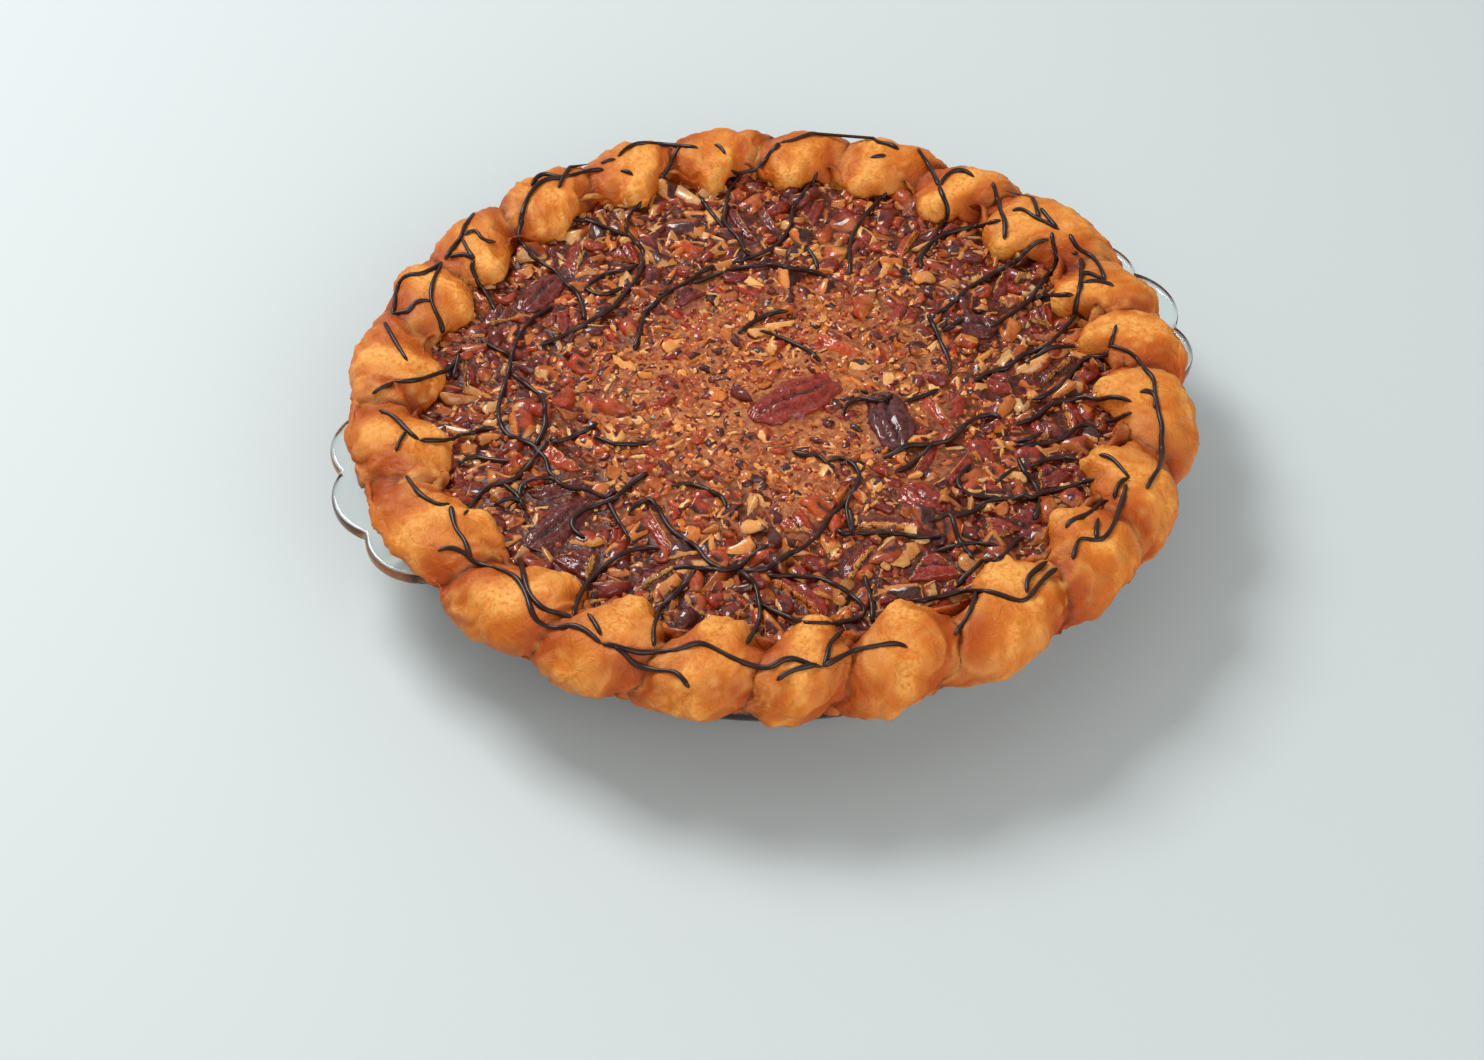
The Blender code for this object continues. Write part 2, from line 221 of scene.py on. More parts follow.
class Wire:
    """An output socket that takes arithmetic: an expression on values adds its Math nodes. It serves
    materials and Geometry Nodes alike."""

    def __init__(self, tree, socket=None):
        self.tree = tree
        self.socket = socket

    def node(self, kind, settings=None, inputs=None, output=0):
        """A node of this kind, its settings made first, then its sockets filled or linked."""
        made = self.tree.nodes.new(kind)
        for name, value in (settings or {}).items():
            setattr(made, name, value)
        for name, value in (inputs or {}).items():
            self.fill(made.inputs[name], value)
        return Wire(self.tree, made.outputs[output])

    def fill(self, socket, value):
        if isinstance(value, Wire):
            self.tree.links.new(value.socket, socket)
        elif socket.type == "RGBA" and len(value) == 3:
            socket.default_value = (*value, 1.0)
        else:
            socket.default_value = value

    def maths(self, operation, *values):
        inputs = dict(enumerate((self, *values)))
        return self.node("ShaderNodeMath", {"operation": operation}, inputs)

    def __add__(self, other):
        return self.maths("ADD", other)

    def __mul__(self, other):
        return self.maths("MULTIPLY", other)

    def __sub__(self, other):
        return self.maths("SUBTRACT", other)

    def __rsub__(self, other):
        return self * -1.0 + other

    def __pow__(self, other):
        return self.maths("POWER", other)

    def clamp(self):
        return self.node("ShaderNodeClamp", None, {"Value": self})

    def ease(self, low, high):
        """0 at low, 1 at high, eased between."""
        inputs = {"Value": self, "From Min": low, "From Max": high}
        return self.node("ShaderNodeMapRange", {"interpolation_type": "SMOOTHSTEP"}, inputs)

    def mix(self, first, second, blend="MIX"):
        """From the first colour to the second as this value goes from 0 to 1."""
        settings = {"data_type": "RGBA", "blend_type": blend}
        return self.node("ShaderNodeMix", settings, {0: self, 6: first, 7: second}, 2)


def linear(red, green, blue):
    """A colour on the 0 to 255 screen scale, as the linear values that shaders take."""
    shares = (red / 255, green / 255, blue / 255)
    return tuple(s / 12.92 if s <= 0.04045 else ((s + 0.055) / 1.055) ** 2.4 for s in shares)


class Finish:
    """A material of one Principled shader. Keywords are the sockets that are the same all over."""

    def __init__(self, name, **constants):
        self.material = bpy.data.materials.new(name)
        self.material.use_nodes = True
        self.tree = self.material.node_tree
        self.shader = self.tree.nodes["Principled BSDF"]
        self.wire = Wire(self.tree)
        for socket, value in constants.items():
            self.feed(socket.replace("_", " "), value)
        self.place = self.wire.node("ShaderNodeTexCoord", None, None, "Object")

    def feed(self, socket, value):
        self.wire.fill(self.shader.inputs[socket], value)

    def attribute(self, name):
        return self.wire.node("ShaderNodeAttribute", {"attribute_name": name}, None, "Fac")

    def noise(self, size, detail=3.0, roughness=0.5, place=None, distortion=0.0):
        """Smooth noise about 0.5, with features of this size in metres."""
        inputs = {
            "Vector": place or self.place,
            "Scale": 1.0 / size,
            "Detail": detail,
            "Roughness": roughness,
            "Distortion": distortion,
        }
        return self.wire.node("ShaderNodeTexNoise", None, inputs)

    def cells(self, size):
        """Distance to the nearest point of a random scatter, in units of size."""
        return self.wire.node("ShaderNodeTexVoronoi", None, {"Vector": self.place, "Scale": 1.0 / size})

    def outward(self):
        """Distance from the pie's upright axis."""
        multiply, length = {"operation": "MULTIPLY"}, {"operation": "LENGTH"}
        level = self.wire.node("ShaderNodeVectorMath", multiply, {0: self.place, 1: (1, 1, 0)})
        return self.wire.node("ShaderNodeVectorMath", length, {0: level}, 1)

    def ramp(self, value, stops):
        """The colour at this value between the stops (position, colour)."""
        made = self.wire.node("ShaderNodeValToRGB", None, {"Fac": value})
        elements = made.socket.node.color_ramp.elements
        while len(elements) < len(stops):
            elements.new(0.5)
        for element, (position, colour) in zip(elements, stops):
            element.position = position
            element.color = (*colour, 1.0)
        return made

    def bump(self, height, distance, strength=1.0):
        inputs = {"Height": height, "Distance": distance, "Strength": strength}
        self.feed("Normal", self.wire.node("ShaderNodeBump", None, inputs))


GLASS_TINT = (0.93, 0.985, 0.975)
CAST_WAVE = 14.0 * MM  # the slow waves of pressed glass
CAST_WAVE_HEIGHT = 0.12 * MM
SMUDGE_SIZE = 30.0 * MM  # patches dulled by handling
SMUDGE_ROUGHNESS = 0.05
CLEAN_ROUGHNESS = 0.01

glass = Finish("clear_pressed_glass", Transmission_Weight=1.0, IOR=1.47, Base_Color=GLASS_TINT)
handled = glass.noise(SMUDGE_SIZE, 2.0)
glass.feed("Roughness", handled.ease(0.5, 0.8) * SMUDGE_ROUGHNESS + CLEAN_ROUGHNESS)
glass.bump(glass.noise(CAST_WAVE, 1.0), CAST_WAVE_HEIGHT)

dish_mesh = lofted("pressed_glass_dish", dish_section, DISH_COLUMNS)
dish = place("pressed_glass_dish", dish_mesh, glass.material)
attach(dish, "root")
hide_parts("glass_dish")


# ---------------------------------------------------------------- pastry
# Shortcrust rolled 4 mm thick, pressed into the dish, folded over the rim and pinched by thumb all
# round into a thick twisted edge. Each flute's ridge runs from the outside slantwise up to a lobe
# that leans over the filling. Geometry Nodes raise the flutes, the small folds and the blisters.

crust_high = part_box("crust")[1]
PASTRY = 4.2 * MM
EDGE_RADIUS = 116.6 * MM  # middle of the twisted edge
EDGE_OUTSIDE = 127.4 * MM
EDGE_INSIDE = 105.0 * MM
CREST_HEIGHT = 43.3 * MM
HEM_HEIGHT = 31.0 * MM
FOOT_RADIUS = 108.7 * MM  # where the filling starts
FOOT_HEIGHT = 36.6 * MM
INTO_GLASS = 0.15 * MM  # the pastry is baked on to the glass, with no air between
PINCHES = (
    2.5, 24.0, 37.0, 53.0, 65.0, 80.5, 94.5, 111.5, 128.0, 139.0, 159.5, 175.5,
    196.5, 215.5, 229.0, 244.0, 256.0, 270.0, 289.5, 305.0, 319.5, 338.0, 352.5,
)  # fmt: skip
PASTRY_COLUMNS = 900
POINTS_PER_SPAN = 6
OVER_EAR = 19.0  # degrees off an ear's middle within which the hem lies on the ear
EAR_FADE = 6.0
HEM_SWAYS = ((1.1 * MM, 7.0, 2.2), (0.7 * MM, 3.0, 9.0))  # height, seed and how fast it changes
CREST_SWAY = 0.7 * MM
OUTSIDE_SWAY = 0.6 * MM
PINCH_FORCES = (0.72, 1.22)  # the weakest and the strongest pinch


def around(azimuth, seed, turns=2.2):
    """A smooth hand-made unevenness round the pie, about -1 to 1."""
    spot = Vector((turns * math.cos(azimuth), turns * math.sin(azimuth), seed))
    return 1.8 * noise.noise(spot)


def hem_line(azimuth):
    """Height of the pastry's lower edge outside the rim. It is lifted where it lies on an ear."""
    off = abs(ear_angle(azimuth))
    share = min(max((OVER_EAR + EAR_FADE - off) / EAR_FADE, 0.0), 1.0)
    on_ear = share * share * (3 - 2 * share)
    hem = HEM_HEIGHT + sum(height * around(azimuth, *field) for height, *field in HEM_SWAYS)
    return hem + (RIM_TOP - 0.2 * MM - hem) * on_ear


def spline(points, per_span):
    """A smooth run (cubic B-spline) led by these points, which touches the first and the last."""
    ends = [points[0]] * 2 + list(points) + [points[-1]] * 2
    run = []
    for a, b, c, d in zip(ends, ends[1:], ends[2:], ends[3:]):
        for step in range(per_span):
            t = step / per_span
            pull = ((1 - t) ** 3 / 6, (3 * t**3 - 6 * t**2 + 4) / 6)
            pull += ((-3 * t**3 + 3 * t**2 + 3 * t + 1) / 6, t**3 / 6)
            run.append(tuple(sum(w * p[i] for w, p in zip(pull, (a, b, c, d))) for i in (0, 1)))
    return run + [points[-1]]


def edge_run(azimuth):
    """The twisted edge's mean section, from the hem's inside round the outside to the foot."""
    hem = hem_line(azimuth)
    crest = CREST_HEIGHT + CREST_SWAY * around(azimuth, 3.0)
    outside = EDGE_OUTSIDE + OUTSIDE_SWAY * around(azimuth, 11.0)
    waist = hem + 0.45 * (crest - hem)
    start = (RIM_RADIUS - 0.1 * MM, max(hem + 3.5 * MM, RIM_TOP - 1.0 * MM))
    return spline(
        (
            start,
            (RIM_RADIUS + 0.8 * MM, hem + 1.0 * MM),
            (outside - 3.4 * MM, hem - 1.0 * MM),
            (outside - 0.6 * MM, hem + 1.6 * MM),
            (outside + 0.6 * MM, waist),
            (outside - 0.8 * MM, crest - 4.2 * MM),
            (EDGE_RADIUS + 6.4 * MM, crest + 0.6 * MM),
            (EDGE_RADIUS, crest + 1.6 * MM),
            (EDGE_RADIUS - 6.2 * MM, crest + 0.6 * MM),
            (EDGE_INSIDE - 0.6 * MM, crest - 3.4 * MM),
            (EDGE_INSIDE - 0.4 * MM, FOOT_HEIGHT + 3.6 * MM),
            (EDGE_INSIDE + 2.8 * MM, FOOT_HEIGHT + 0.6 * MM),
            (FOOT_RADIUS, FOOT_HEIGHT - 1.0 * MM),
        ),
        POINTS_PER_SPAN,
    )


def case_section(azimuth):
    """The pastry's whole section, from under its floor to the top of its floor."""
    inner_heel = HEEL_RADIUS - GLASS + INTO_GLASS
    heel = HEEL_HEIGHT + INNER_HEEL_LIFT
    wall_top = WALL_TOP_RADIUS - GLASS + INTO_GLASS
    floor = GLASS - INTO_GLASS
    return [
        (0.0, floor),
        (BASE_RADIUS * 0.5, floor),
        *arc((inner_heel - INNER_HEEL, heel), (INNER_HEEL, INNER_HEEL + INTO_GLASS), -90, 0),
        *straight((inner_heel, heel), (wall_top, RIM_TOP - 1.4 * MM), 2 * WALL_POINTS),
        (wall_top, RIM_TOP - 1.6 * MM),
        (wall_top + 1.2 * MM, RIM_TOP - 0.1 * MM),
        (RIM_RADIUS - 1.4 * MM, RIM_TOP - 0.1 * MM),
        *edge_run(azimuth),
        (inner_heel - PASTRY, GLASS + PASTRY + 4 * MM),
        (BASE_RADIUS - 6 * MM, GLASS + PASTRY),
        (0.0, GLASS + PASTRY),
    ]


def flute_share(azimuth):
    """How far this azimuth is from one pinch to the next, 0 to 1, and which flute it is in."""
    degrees = (math.degrees(azimuth) - PINCHES[0]) % 360.0 + PINCHES[0]
    places = PINCHES + (PINCHES[0] + 360.0,)
    for flute, (here, there) in enumerate(zip(places, places[1:])):
        if degrees < there:
            break
    return (degrees - here) / (there - here), flute


def store(mesh, name, values):
    """Keeps one number for each point of the mesh under this name."""
    mesh.attributes.new(name, "FLOAT", "POINT").data.foreach_set("value", values)


def pastry_mesh():
    """The unfluted case, with what the flutes are worked out from kept on its points: how far each
    is across the edge, how far along its flute, and how strongly that flute was pinched."""
    mesh = lofted("pastry_case", case_section, PASTRY_COLUMNS)
    whole = case_section(0.0)
    edge = len(edge_run(0.0))
    first = len(whole) - edge - 3
    across = [(row - first) / (edge - 1) for row in range(1, len(whole) - 1)]
    rnd = random.Random(23)
    force = [rnd.uniform(*PINCH_FORCES) for _ in PINCHES]
    turns, forces = [0.0, 0.0], [0.0, 0.0]
    for column in range(PASTRY_COLUMNS):
        share, flute = flute_share(TAU * column / PASTRY_COLUMNS)
        nearer = force[flute] * (1 - share) + force[(flute + 1) % len(force)] * share
        turns += [flute + share] * len(across)
        forces += [nearer] * len(across)
    store(mesh, "across", [-1.0, 2.0] + across * PASTRY_COLUMNS)
    store(mesh, "turn", turns)
    store(mesh, "force", forces)
    return mesh


class Tree:
    """A Geometry Nodes tree with named inputs. A geometry goes in and one comes out."""

    def __init__(self, name, **sizes):
        self.tree = bpy.data.node_groups.new(name, "GeometryNodeTree")
        face = self.tree.interface
        face.new_socket("Geometry", in_out="INPUT", socket_type="NodeSocketGeometry")
        face.new_socket("Geometry", in_out="OUTPUT", socket_type="NodeSocketGeometry")
        kinds = {int: "NodeSocketInt", float: "NodeSocketFloat"}
        self.ids = {}
        self.sizes = sizes
        for size, value in sizes.items():
            kind = kinds.get(type(value), "NodeSocketCollection")
            socket = face.new_socket(size.replace("_", " "), in_out="INPUT", socket_type=kind)
            self.ids[size] = socket.identifier
        self.entry = self.tree.nodes.new("NodeGroupInput")
        self.wire = Wire(self.tree)
        self.geometry = Wire(self.tree, self.entry.outputs["Geometry"])

    def size(self, name):
        return Wire(self.tree, self.entry.outputs[name.replace("_", " ")])

    def node(self, *details, **more):
        return self.wire.node(*details, **more)

    def attribute(self, name):
        return self.node("GeometryNodeInputNamedAttribute", None, {"Name": name})

    def noise(self, size, detail=2.0, seed=0.0):
        """Noise about 0, from -1 to 1, with features of this size. Each seed is another field."""
        spot = self.node("GeometryNodeInputPosition")
        spot = self.node("ShaderNodeVectorMath", {"operation": "ADD"}, {0: spot, 1: (seed, seed, 0)})
        inputs = {"Vector": spot, "Scale": 1.0 / size, "Detail": detail}
        return self.node("ShaderNodeTexNoise", None, inputs) * 2.0 - 1.0

    def raise_by(self, geometry, amount):
        """Moves each point out along its normal."""
        settings = {"operation": "SCALE"}
        normal = self.node("GeometryNodeInputNormal")
        offset = self.node("ShaderNodeVectorMath", settings, {0: normal, "Scale": amount})
        return self.node("GeometryNodeSetPosition", None, {"Geometry": geometry, "Offset": offset})

    def random(self, low, high, seed):
        """A random number for each element, whole if high is."""
        whole = isinstance(high, int)
        inputs = {"Min": low, "Max": high, "Seed": seed}
        settings = {"data_type": "INT" if whole else "FLOAT"}
        return self.node("FunctionNodeRandomValue", settings, inputs, 2 if whole else 1)

    def keep(self, geometry, name, value, domain="POINT"):
        settings = {"data_type": "FLOAT", "domain": domain}
        inputs = {"Geometry": geometry, "Name": name, "Value": value}
        return self.node("GeometryNodeStoreNamedAttribute", settings, inputs)

    def finish(self, geometry, material):
        """Ends the tree, as every tree here ends, in real faces with their material."""
        real = self.node("GeometryNodeRealizeInstances", None, {"Geometry": geometry})
        inputs = {"Geometry": real, "Material": material}
        dressed = self.node("GeometryNodeSetMaterial", None, inputs)
        leave = self.tree.nodes.new("NodeGroupOutput")
        self.tree.links.new(dressed.socket, leave.inputs["Geometry"])

    def made_from(self, mesh, name):
        """The tree's result on this mesh, as a piece of its own with no modifier."""
        guide = place(name + "_guide", mesh)
        modifier = guide.modifiers.new("shape", "NODES")
        modifier.node_group = self.tree
        for size, value in self.sizes.items():
            modifier[self.ids[size]] = value
        graph = bpy.context.evaluated_depsgraph_get()
        result = bpy.data.meshes.new_from_object(guide.evaluated_get(graph))
        bpy.data.objects.remove(guide, do_unlink=True)
        result.name = name
        return place(name, result)


pastry = Finish("baked_shortcrust", Specular_IOR_Level=0.22, Subsurface_Weight=0.1)
pastry.feed("Subsurface Scale", 2.0 * MM)
PASTRY_PALE = linear(240, 176, 90)
PASTRY_GOLD = linear(214, 122, 34)
PASTRY_BROWN = linear(166, 70, 10)
PASTRY_DEEP = linear(104, 34, 2)
BROWN_PATCH = 11 * MM
SPECKLE = 1.6 * MM
CREASE_PAINTED_SHADE = 0.75  # how much of its colour each mark takes from the darker or paler pastry: painted shade in the creases, down the inside under the lobes and in the fold valleys, painted highlight on the blisters and the fold tops; the speckles are real browning
SPECKLE_SHARE = 0.4
BLISTER_PAINTED_HIGHLIGHT = 0.6
FOOT_PAINTED_SHADE = 0.75
FOLD_PAINTED_SHADE = 0.55
FOLD_PAINTED_HIGHLIGHT = 0.35
CRUMPLE_SIZE = 4.5 * MM
CRUMB_SIZE = 1.3 * MM
CRUMB_DEPTH = 0.6 * MM
ridge = pastry.attribute("ridge")
across = pastry.attribute("across")
patches = pastry.noise(BROWN_PATCH, 3.0)
speckle = pastry.noise(SPECKLE, 3.0, 0.6)
# Painted light: paler up the flute ridges and over the crest towards the lobes, with pale specks only
# where it is lightest; the noise patches in it are real browning.
lit_lobes = (ridge * 0.34 + across.ease(0.3, 0.8) * 0.12 + patches * 0.55 + 0.16).ease(0.36, 1.05)
colour = lit_lobes.mix(PASTRY_BROWN, PASTRY_GOLD)
colour = (lit_lobes.ease(0.55, 1.0) * speckle.ease(0.3, 0.65)).mix(colour, PASTRY_PALE)
# Painted shade: the creases between the flute ridges are darkened towards the deepest brown.
creases = (1.0 - ridge.ease(-1.0, -0.35)) * CREASE_PAINTED_SHADE
colour = creases.mix(colour, PASTRY_DEEP)
colour = (speckle.ease(0.56, 0.72) * SPECKLE_SHARE).mix(colour, PASTRY_BROWN)
# Painted highlight: the blisters are made paler.
colour = (pastry.attribute("blister") * BLISTER_PAINTED_HIGHLIGHT).mix(colour, PASTRY_PALE)
# Painted shade: the inside of the edge, under the lobes and down to the foot, is darkened towards brown.
colour = (across.ease(0.76, 0.94) * FOOT_PAINTED_SHADE).mix(colour, PASTRY_BROWN)
fold = pastry.attribute("fold")
# Painted shade in the valleys of the small folds, and painted highlight on their tops.
colour = ((1.0 - fold.ease(-0.5, 0.35)) * FOLD_PAINTED_SHADE).mix(colour, PASTRY_DEEP)
colour = (fold.ease(0.3, 1.0) * FOLD_PAINTED_HIGHLIGHT).mix(colour, PASTRY_PALE)
pastry.feed("Base Color", colour)
pastry.feed("Roughness", patches * 0.2 + 0.38)
crumpled = (pastry.noise(CRUMPLE_SIZE, 2.0, 0.5, distortion=1.0) - 0.5).maths("ABSOLUTE")
pastry.bump(pastry.noise(CRUMB_SIZE, 4.0, 0.65) * 0.6 + crumpled * 2.5, CRUMB_DEPTH, 0.8)

FOLDS_PER_FLUTE = 3.2
FOLDS_ACROSS = 3.4
RIDGE_START = 0.33  # how far along its flute a ridge starts, at the hem
PRESSED_SIZE = 14 * MM  # patches where a palm flattened the folds
BLISTER_SPACING = 4.6 * MM
BLISTER_PATCH = 13 * MM
LUMP_SIZES = (9 * MM, 4 * MM)
HEM_TEAR = 5 * MM
HIGHEST_PASTRY = crust_high.z - 1.9 * MM
fluting = Tree(
    "Fluted edge",
    Outside_sway=2.7 * MM,
    Crest_rise=2.2 * MM,
    Inside_sway=6.2 * MM,
    Slant=0.85,
    Fold_height=1.9 * MM,
    Blister_height=0.5 * MM,
    Lump_height=1.5 * MM,
    Hem_raggedness=1.3 * MM,
)
turn, across, force = (fluting.attribute(name) for name in ("turn", "across", "force"))
on_edge = across.ease(0.02, 0.16) * (1.0 - across.ease(0.9, 1.0))
wander = fluting.noise(17 * MM, 1.0) * 0.16 + fluting.noise(6 * MM, 1.0, 3.0) * 0.05
offset = turn - RIDGE_START - across * fluting.size("Slant") + wander
inward = across.ease(0.55, 0.85)
crease = (offset * math.pi).maths("COSINE").maths("ABSOLUTE")
twist = crease ** (inward * 0.9 + 0.85) * 2.0 - 1.0
outward = 1.0 - across.ease(0.15, 0.45)
sway = fluting.size("Outside_sway") * outward + fluting.size("Inside_sway") * inward
sway = sway + fluting.size("Crest_rise") * (1.0 - inward) * (1.0 - outward)
fluted = fluting.raise_by(fluting.geometry, on_edge * force * twist * sway)
full = offset * (TAU / len(PINCHES))
around_it = len(PINCHES) * FOLDS_PER_FLUTE / TAU
inputs = {
    "X": full.maths("COSINE") * around_it,
    "Y": full.maths("SINE") * around_it,
    "Z": across * FOLDS_ACROSS,
}
lie = fluting.node("ShaderNodeCombineXYZ", None, inputs)
inputs = {"Vector": lie, "Scale": 1.0, "Detail": 2.5, "Distortion": 0.7}
folds = (fluting.node("ShaderNodeTexNoise", None, inputs) * 2.0 - 1.0).maths("ABSOLUTE") ** 0.7
folds = 1.0 - folds * 1.6
pressed = (fluting.noise(PRESSED_SIZE, 1.0, 9.0) + 0.75).clamp()
spot = fluting.node("GeometryNodeInputPosition")
cells = fluting.node("ShaderNodeTexVoronoi", None, {"Vector": spot, "Scale": 1.0 / BLISTER_SPACING})
blisters = (1.0 - cells.ease(0.12, 0.5)) * fluting.noise(BLISTER_PATCH, 1.0, 2.0).ease(0.0, 0.5)
lumps = fluting.noise(LUMP_SIZES[0], 1.0, 6.0) + fluting.noise(LUMP_SIZES[1], 2.0, 8.0) * 0.5
fine = folds * pressed * fluting.size("Fold_height") + blisters * fluting.size("Blister_height")
fine = fine + lumps * fluting.size("Lump_height")
folded = fluting.raise_by(fluted, on_edge * fine)
ragged = fluting.noise(HEM_TEAR, 3.0, 4.0) * fluting.size("Hem_raggedness")
low = across.ease(0.04, 0.14) * (1.0 - across.ease(0.16, 0.3))
height = fluting.node("ShaderNodeSeparateXYZ", None, {0: spot}, 2)
too_high = (height - HIGHEST_PASTRY).maths("MAXIMUM", 0.0) * -0.75
drop = fluting.node("ShaderNodeCombineXYZ", None, {"Z": ragged * low + too_high})
hemmed = fluting.node("GeometryNodeSetPosition", None, {"Geometry": folded, "Offset": drop})
hemmed = fluting.keep(hemmed, "blister", blisters)
hemmed = fluting.keep(hemmed, "fold", folds * pressed)
fluting.finish(fluting.keep(hemmed, "ridge", twist * on_edge), pastry.material)

case = fluting.made_from(pastry_mesh(), "pastry_case")
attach(case, "root")
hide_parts("crust")


# ---------------------------------------------------------------- filling's level and large pecans
# The custard sets in a low lumpy dome. On it lie the largest pecans: halves with a deep groove and
# wrinkled red-brown skin, slivers split lengthwise and thick broken pieces, which show pale flesh
# where they broke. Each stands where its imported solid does, sunk to half its height.

FILLING_RADIUS = 108.6 * MM
FILLING_EDGE_HEIGHT = 36.8 * MM
FILLING_DOME = 2.4 * MM
LUMP_SIZE = 17.0 * MM
LUMP_HEIGHT = 1.44 * MM
GROOVE = (0.62, 0.12)  # depth and width, in half sizes of the nut
FURROW = (0.27, 0.55, 0.09)  # depth, place off the middle and width
WRINKLES = ((0.08, 19, 6, 9), (0.05, 33, -9, 14))  # depth, and turns along, across and by sway
FLESH_EDGE = 0.05


def custard_level(x, y):
    """Height of the custard's lumpy top, before the glaze."""
    share = min(math.hypot(x, y) / FILLING_RADIUS, 1.0)
    lumps = noise.noise(Vector((x / LUMP_SIZE, y / LUMP_SIZE, 1.7))) * LUMP_HEIGHT
    return FILLING_EDGE_HEIGHT + FILLING_DOME * (1.0 - share**2) + lumps * (1.0 - share**6)


def nut_mesh(name, size, cuts, seed, stations=44, spokes=40, relief=1.0):
    """A half nut, round side up, its length along x, centred. Each cut (normal, distance, in half
    sizes) breaks off what is beyond a plane, and the broken places are marked as flesh."""
    length, width, height = size
    along_turn = np.linspace(0, math.pi, stations + 1)[1:-1, None]
    round_turn = np.linspace(0, TAU, spokes, endpoint=False)[None, :]
    along = -np.cos(along_turn)
    girth = np.sin(along_turn) ** 0.72
    side = np.cos(round_turn)
    up = np.sin(round_turn)
    wander = np.vectorize(lambda a, b: noise.noise(Vector((a * 2.1, b * 1.7, seed * 5.3))))
    sway = wander(along + 0 * side, side + 0 * along)
    middle = side - 0.25 * sway
    groove = GROOVE[0] * np.exp(-((middle / GROOVE[1]) ** 2)) * np.cos(along * 0.5 * math.pi) ** 0.3
    furrow = FURROW[0] * np.exp(-(((np.abs(middle) - FURROW[1]) / FURROW[2]) ** 2))
    wrinkle = sum(d * np.sin(along * a + np.abs(side) * s + sway * w) for d, a, s, w in WRINKLES)
    dent = 1.0 - relief * np.where(up > 0, groove + furrow + wrinkle, 0.0)
    crown = np.where(up > 0, np.abs(up) ** 0.8 * 1.25, up * 0.75) * dent
    x = along * (1.0 + 0.06 * sway)
    y = girth * side * (1.0 + relief * (0.5 * wrinkle + 0.12 * sway))
    z = girth**0.75 * crown
    ends = [[-1.0, 0.0, 0.0], [1.0, 0.0, 0.0]]
    spots = np.concatenate((ends, np.stack((x + 0 * side, y, z), axis=2).reshape(-1, 3)))
    knobs = [noise.noise(Vector(spot * 1.9 + seed * 7.7)) for spot in spots]
    spots *= 1.0 + (0.3 if stations < 20 else 0.12) * np.array(knobs)[:, None]
    flesh = np.zeros(len(spots))
    # How deep each point lies in the groove, furrows and wrinkles; the skin's painted shade follows it.
    hollow = np.concatenate(((0.0, 0.0), np.where(up > 0, groove + furrow - wrinkle, 0.0).ravel()))
    for number, (normal, distance) in enumerate(cuts):
        normal = np.array(normal) / np.linalg.norm(normal)
        beyond = spots @ normal - distance
        rough = [0.09 * noise.noise(Vector(spot * 3.3 + seed + number)) for spot in spots]
        cut = beyond > 0
        spots[cut] -= np.outer(beyond + np.array(rough), normal)[cut]
        flesh = np.maximum(flesh, np.clip(beyond / FLESH_EDGE, 0.0, 1.0))
    low, high = spots.min(axis=0), spots.max(axis=0)
    spots = (spots - (low + high) / 2) / (high - low) * np.array((length, width, height))
    faces = []
    rows = stations - 1
    for spoke in range(spokes):
        here, there = 2 + spoke, 2 + (spoke + 1) % spokes
        faces.append((0, here, there))
        faces.append((1, there + (rows - 1) * spokes, here + (rows - 1) * spokes))
        for row in range(rows - 1):
            a, b = here + row * spokes, there + row * spokes
            faces.append((a, a + spokes, b + spokes, b))
    mesh = bpy.data.meshes.new(name)
    mesh.from_pydata(spots.tolist(), [], faces)
    mesh.shade_smooth()
    store(mesh, "flesh", flesh)
    store(mesh, "hollow", hollow * (1 - flesh))
    return mesh


pecan = Finish("pecan_skin_and_flesh", Specular_IOR_Level=0.22, Subsurface_Weight=0.08)
pecan.feed("Subsurface Scale", 1.5 * MM)
flesh = pecan.attribute("flesh")
tone = pecan.attribute("tone")
ripeness = pecan.attribute("ripeness")
vein = pecan.noise(2.6 * MM, 3.0, 0.6)
grain = pecan.noise(0.8 * MM, 3.0, 0.6)
SKIN_COLOURS = (
    (0.0, linear(62, 24, 22)),
    (0.3, linear(118, 30, 16)),
    (0.55, linear(164, 46, 16)),
    (0.8, linear(192, 78, 24)),
    (1.0, linear(212, 112, 44)),
)
FLESH_COLOURS = (
    (0.0, linear(150, 66, 24)),
    (0.35, linear(214, 116, 40)),
    (0.65, linear(236, 160, 80)),
    (1.0, linear(252, 206, 138)),
)
HOLLOW_PAINTED_SHADE = linear(40, 12, 8)
SYRUP_STAIN = linear(70, 22, 10)
STAIN_SHARE = 0.42
SYRUP_COAT = 0.85
skin = pecan.ramp((tone * 0.9 + vein * 0.5 - 0.25).clamp(), SKIN_COLOURS)
# Painted shade: the groove, furrows and wrinkle hollows of the skin are darkened towards near black.
skin = pecan.attribute("hollow").ease(0.1, 0.55).mix(skin, HOLLOW_PAINTED_SHADE)
inside = pecan.ramp((ripeness * 0.8 + vein * 0.5 - 0.2).clamp(), FLESH_COLOURS)
colour = (flesh * 1.2 + grain * 0.5 - 0.5).ease(0.1, 0.55).mix(skin, inside)
stain = pecan.outward() * (1.0 / FILLING_RADIUS) + (pecan.noise(13 * MM, 3.0) - 0.5) * 1.6
pecan.feed("Base Color", (stain.ease(0.25, 1.1) * STAIN_SHARE).mix(colour, SYRUP_STAIN))
pecan.feed("Roughness", vein * 0.3 + 0.16)
pecan.feed("Coat Weight", vein.ease(0.32, 0.6) * SYRUP_COAT)
pecan.feed("Coat Roughness", 0.06)
wrinkles = (pecan.noise(2.1 * MM, 3.0, 0.55, distortion=1.2) - 0.5).maths("ABSOLUTE")
pecan.bump(pecan.noise(1.0 * MM, 4.0, 0.6) * 0.5 + wrinkles * 2.2, 0.45 * MM, 0.9)

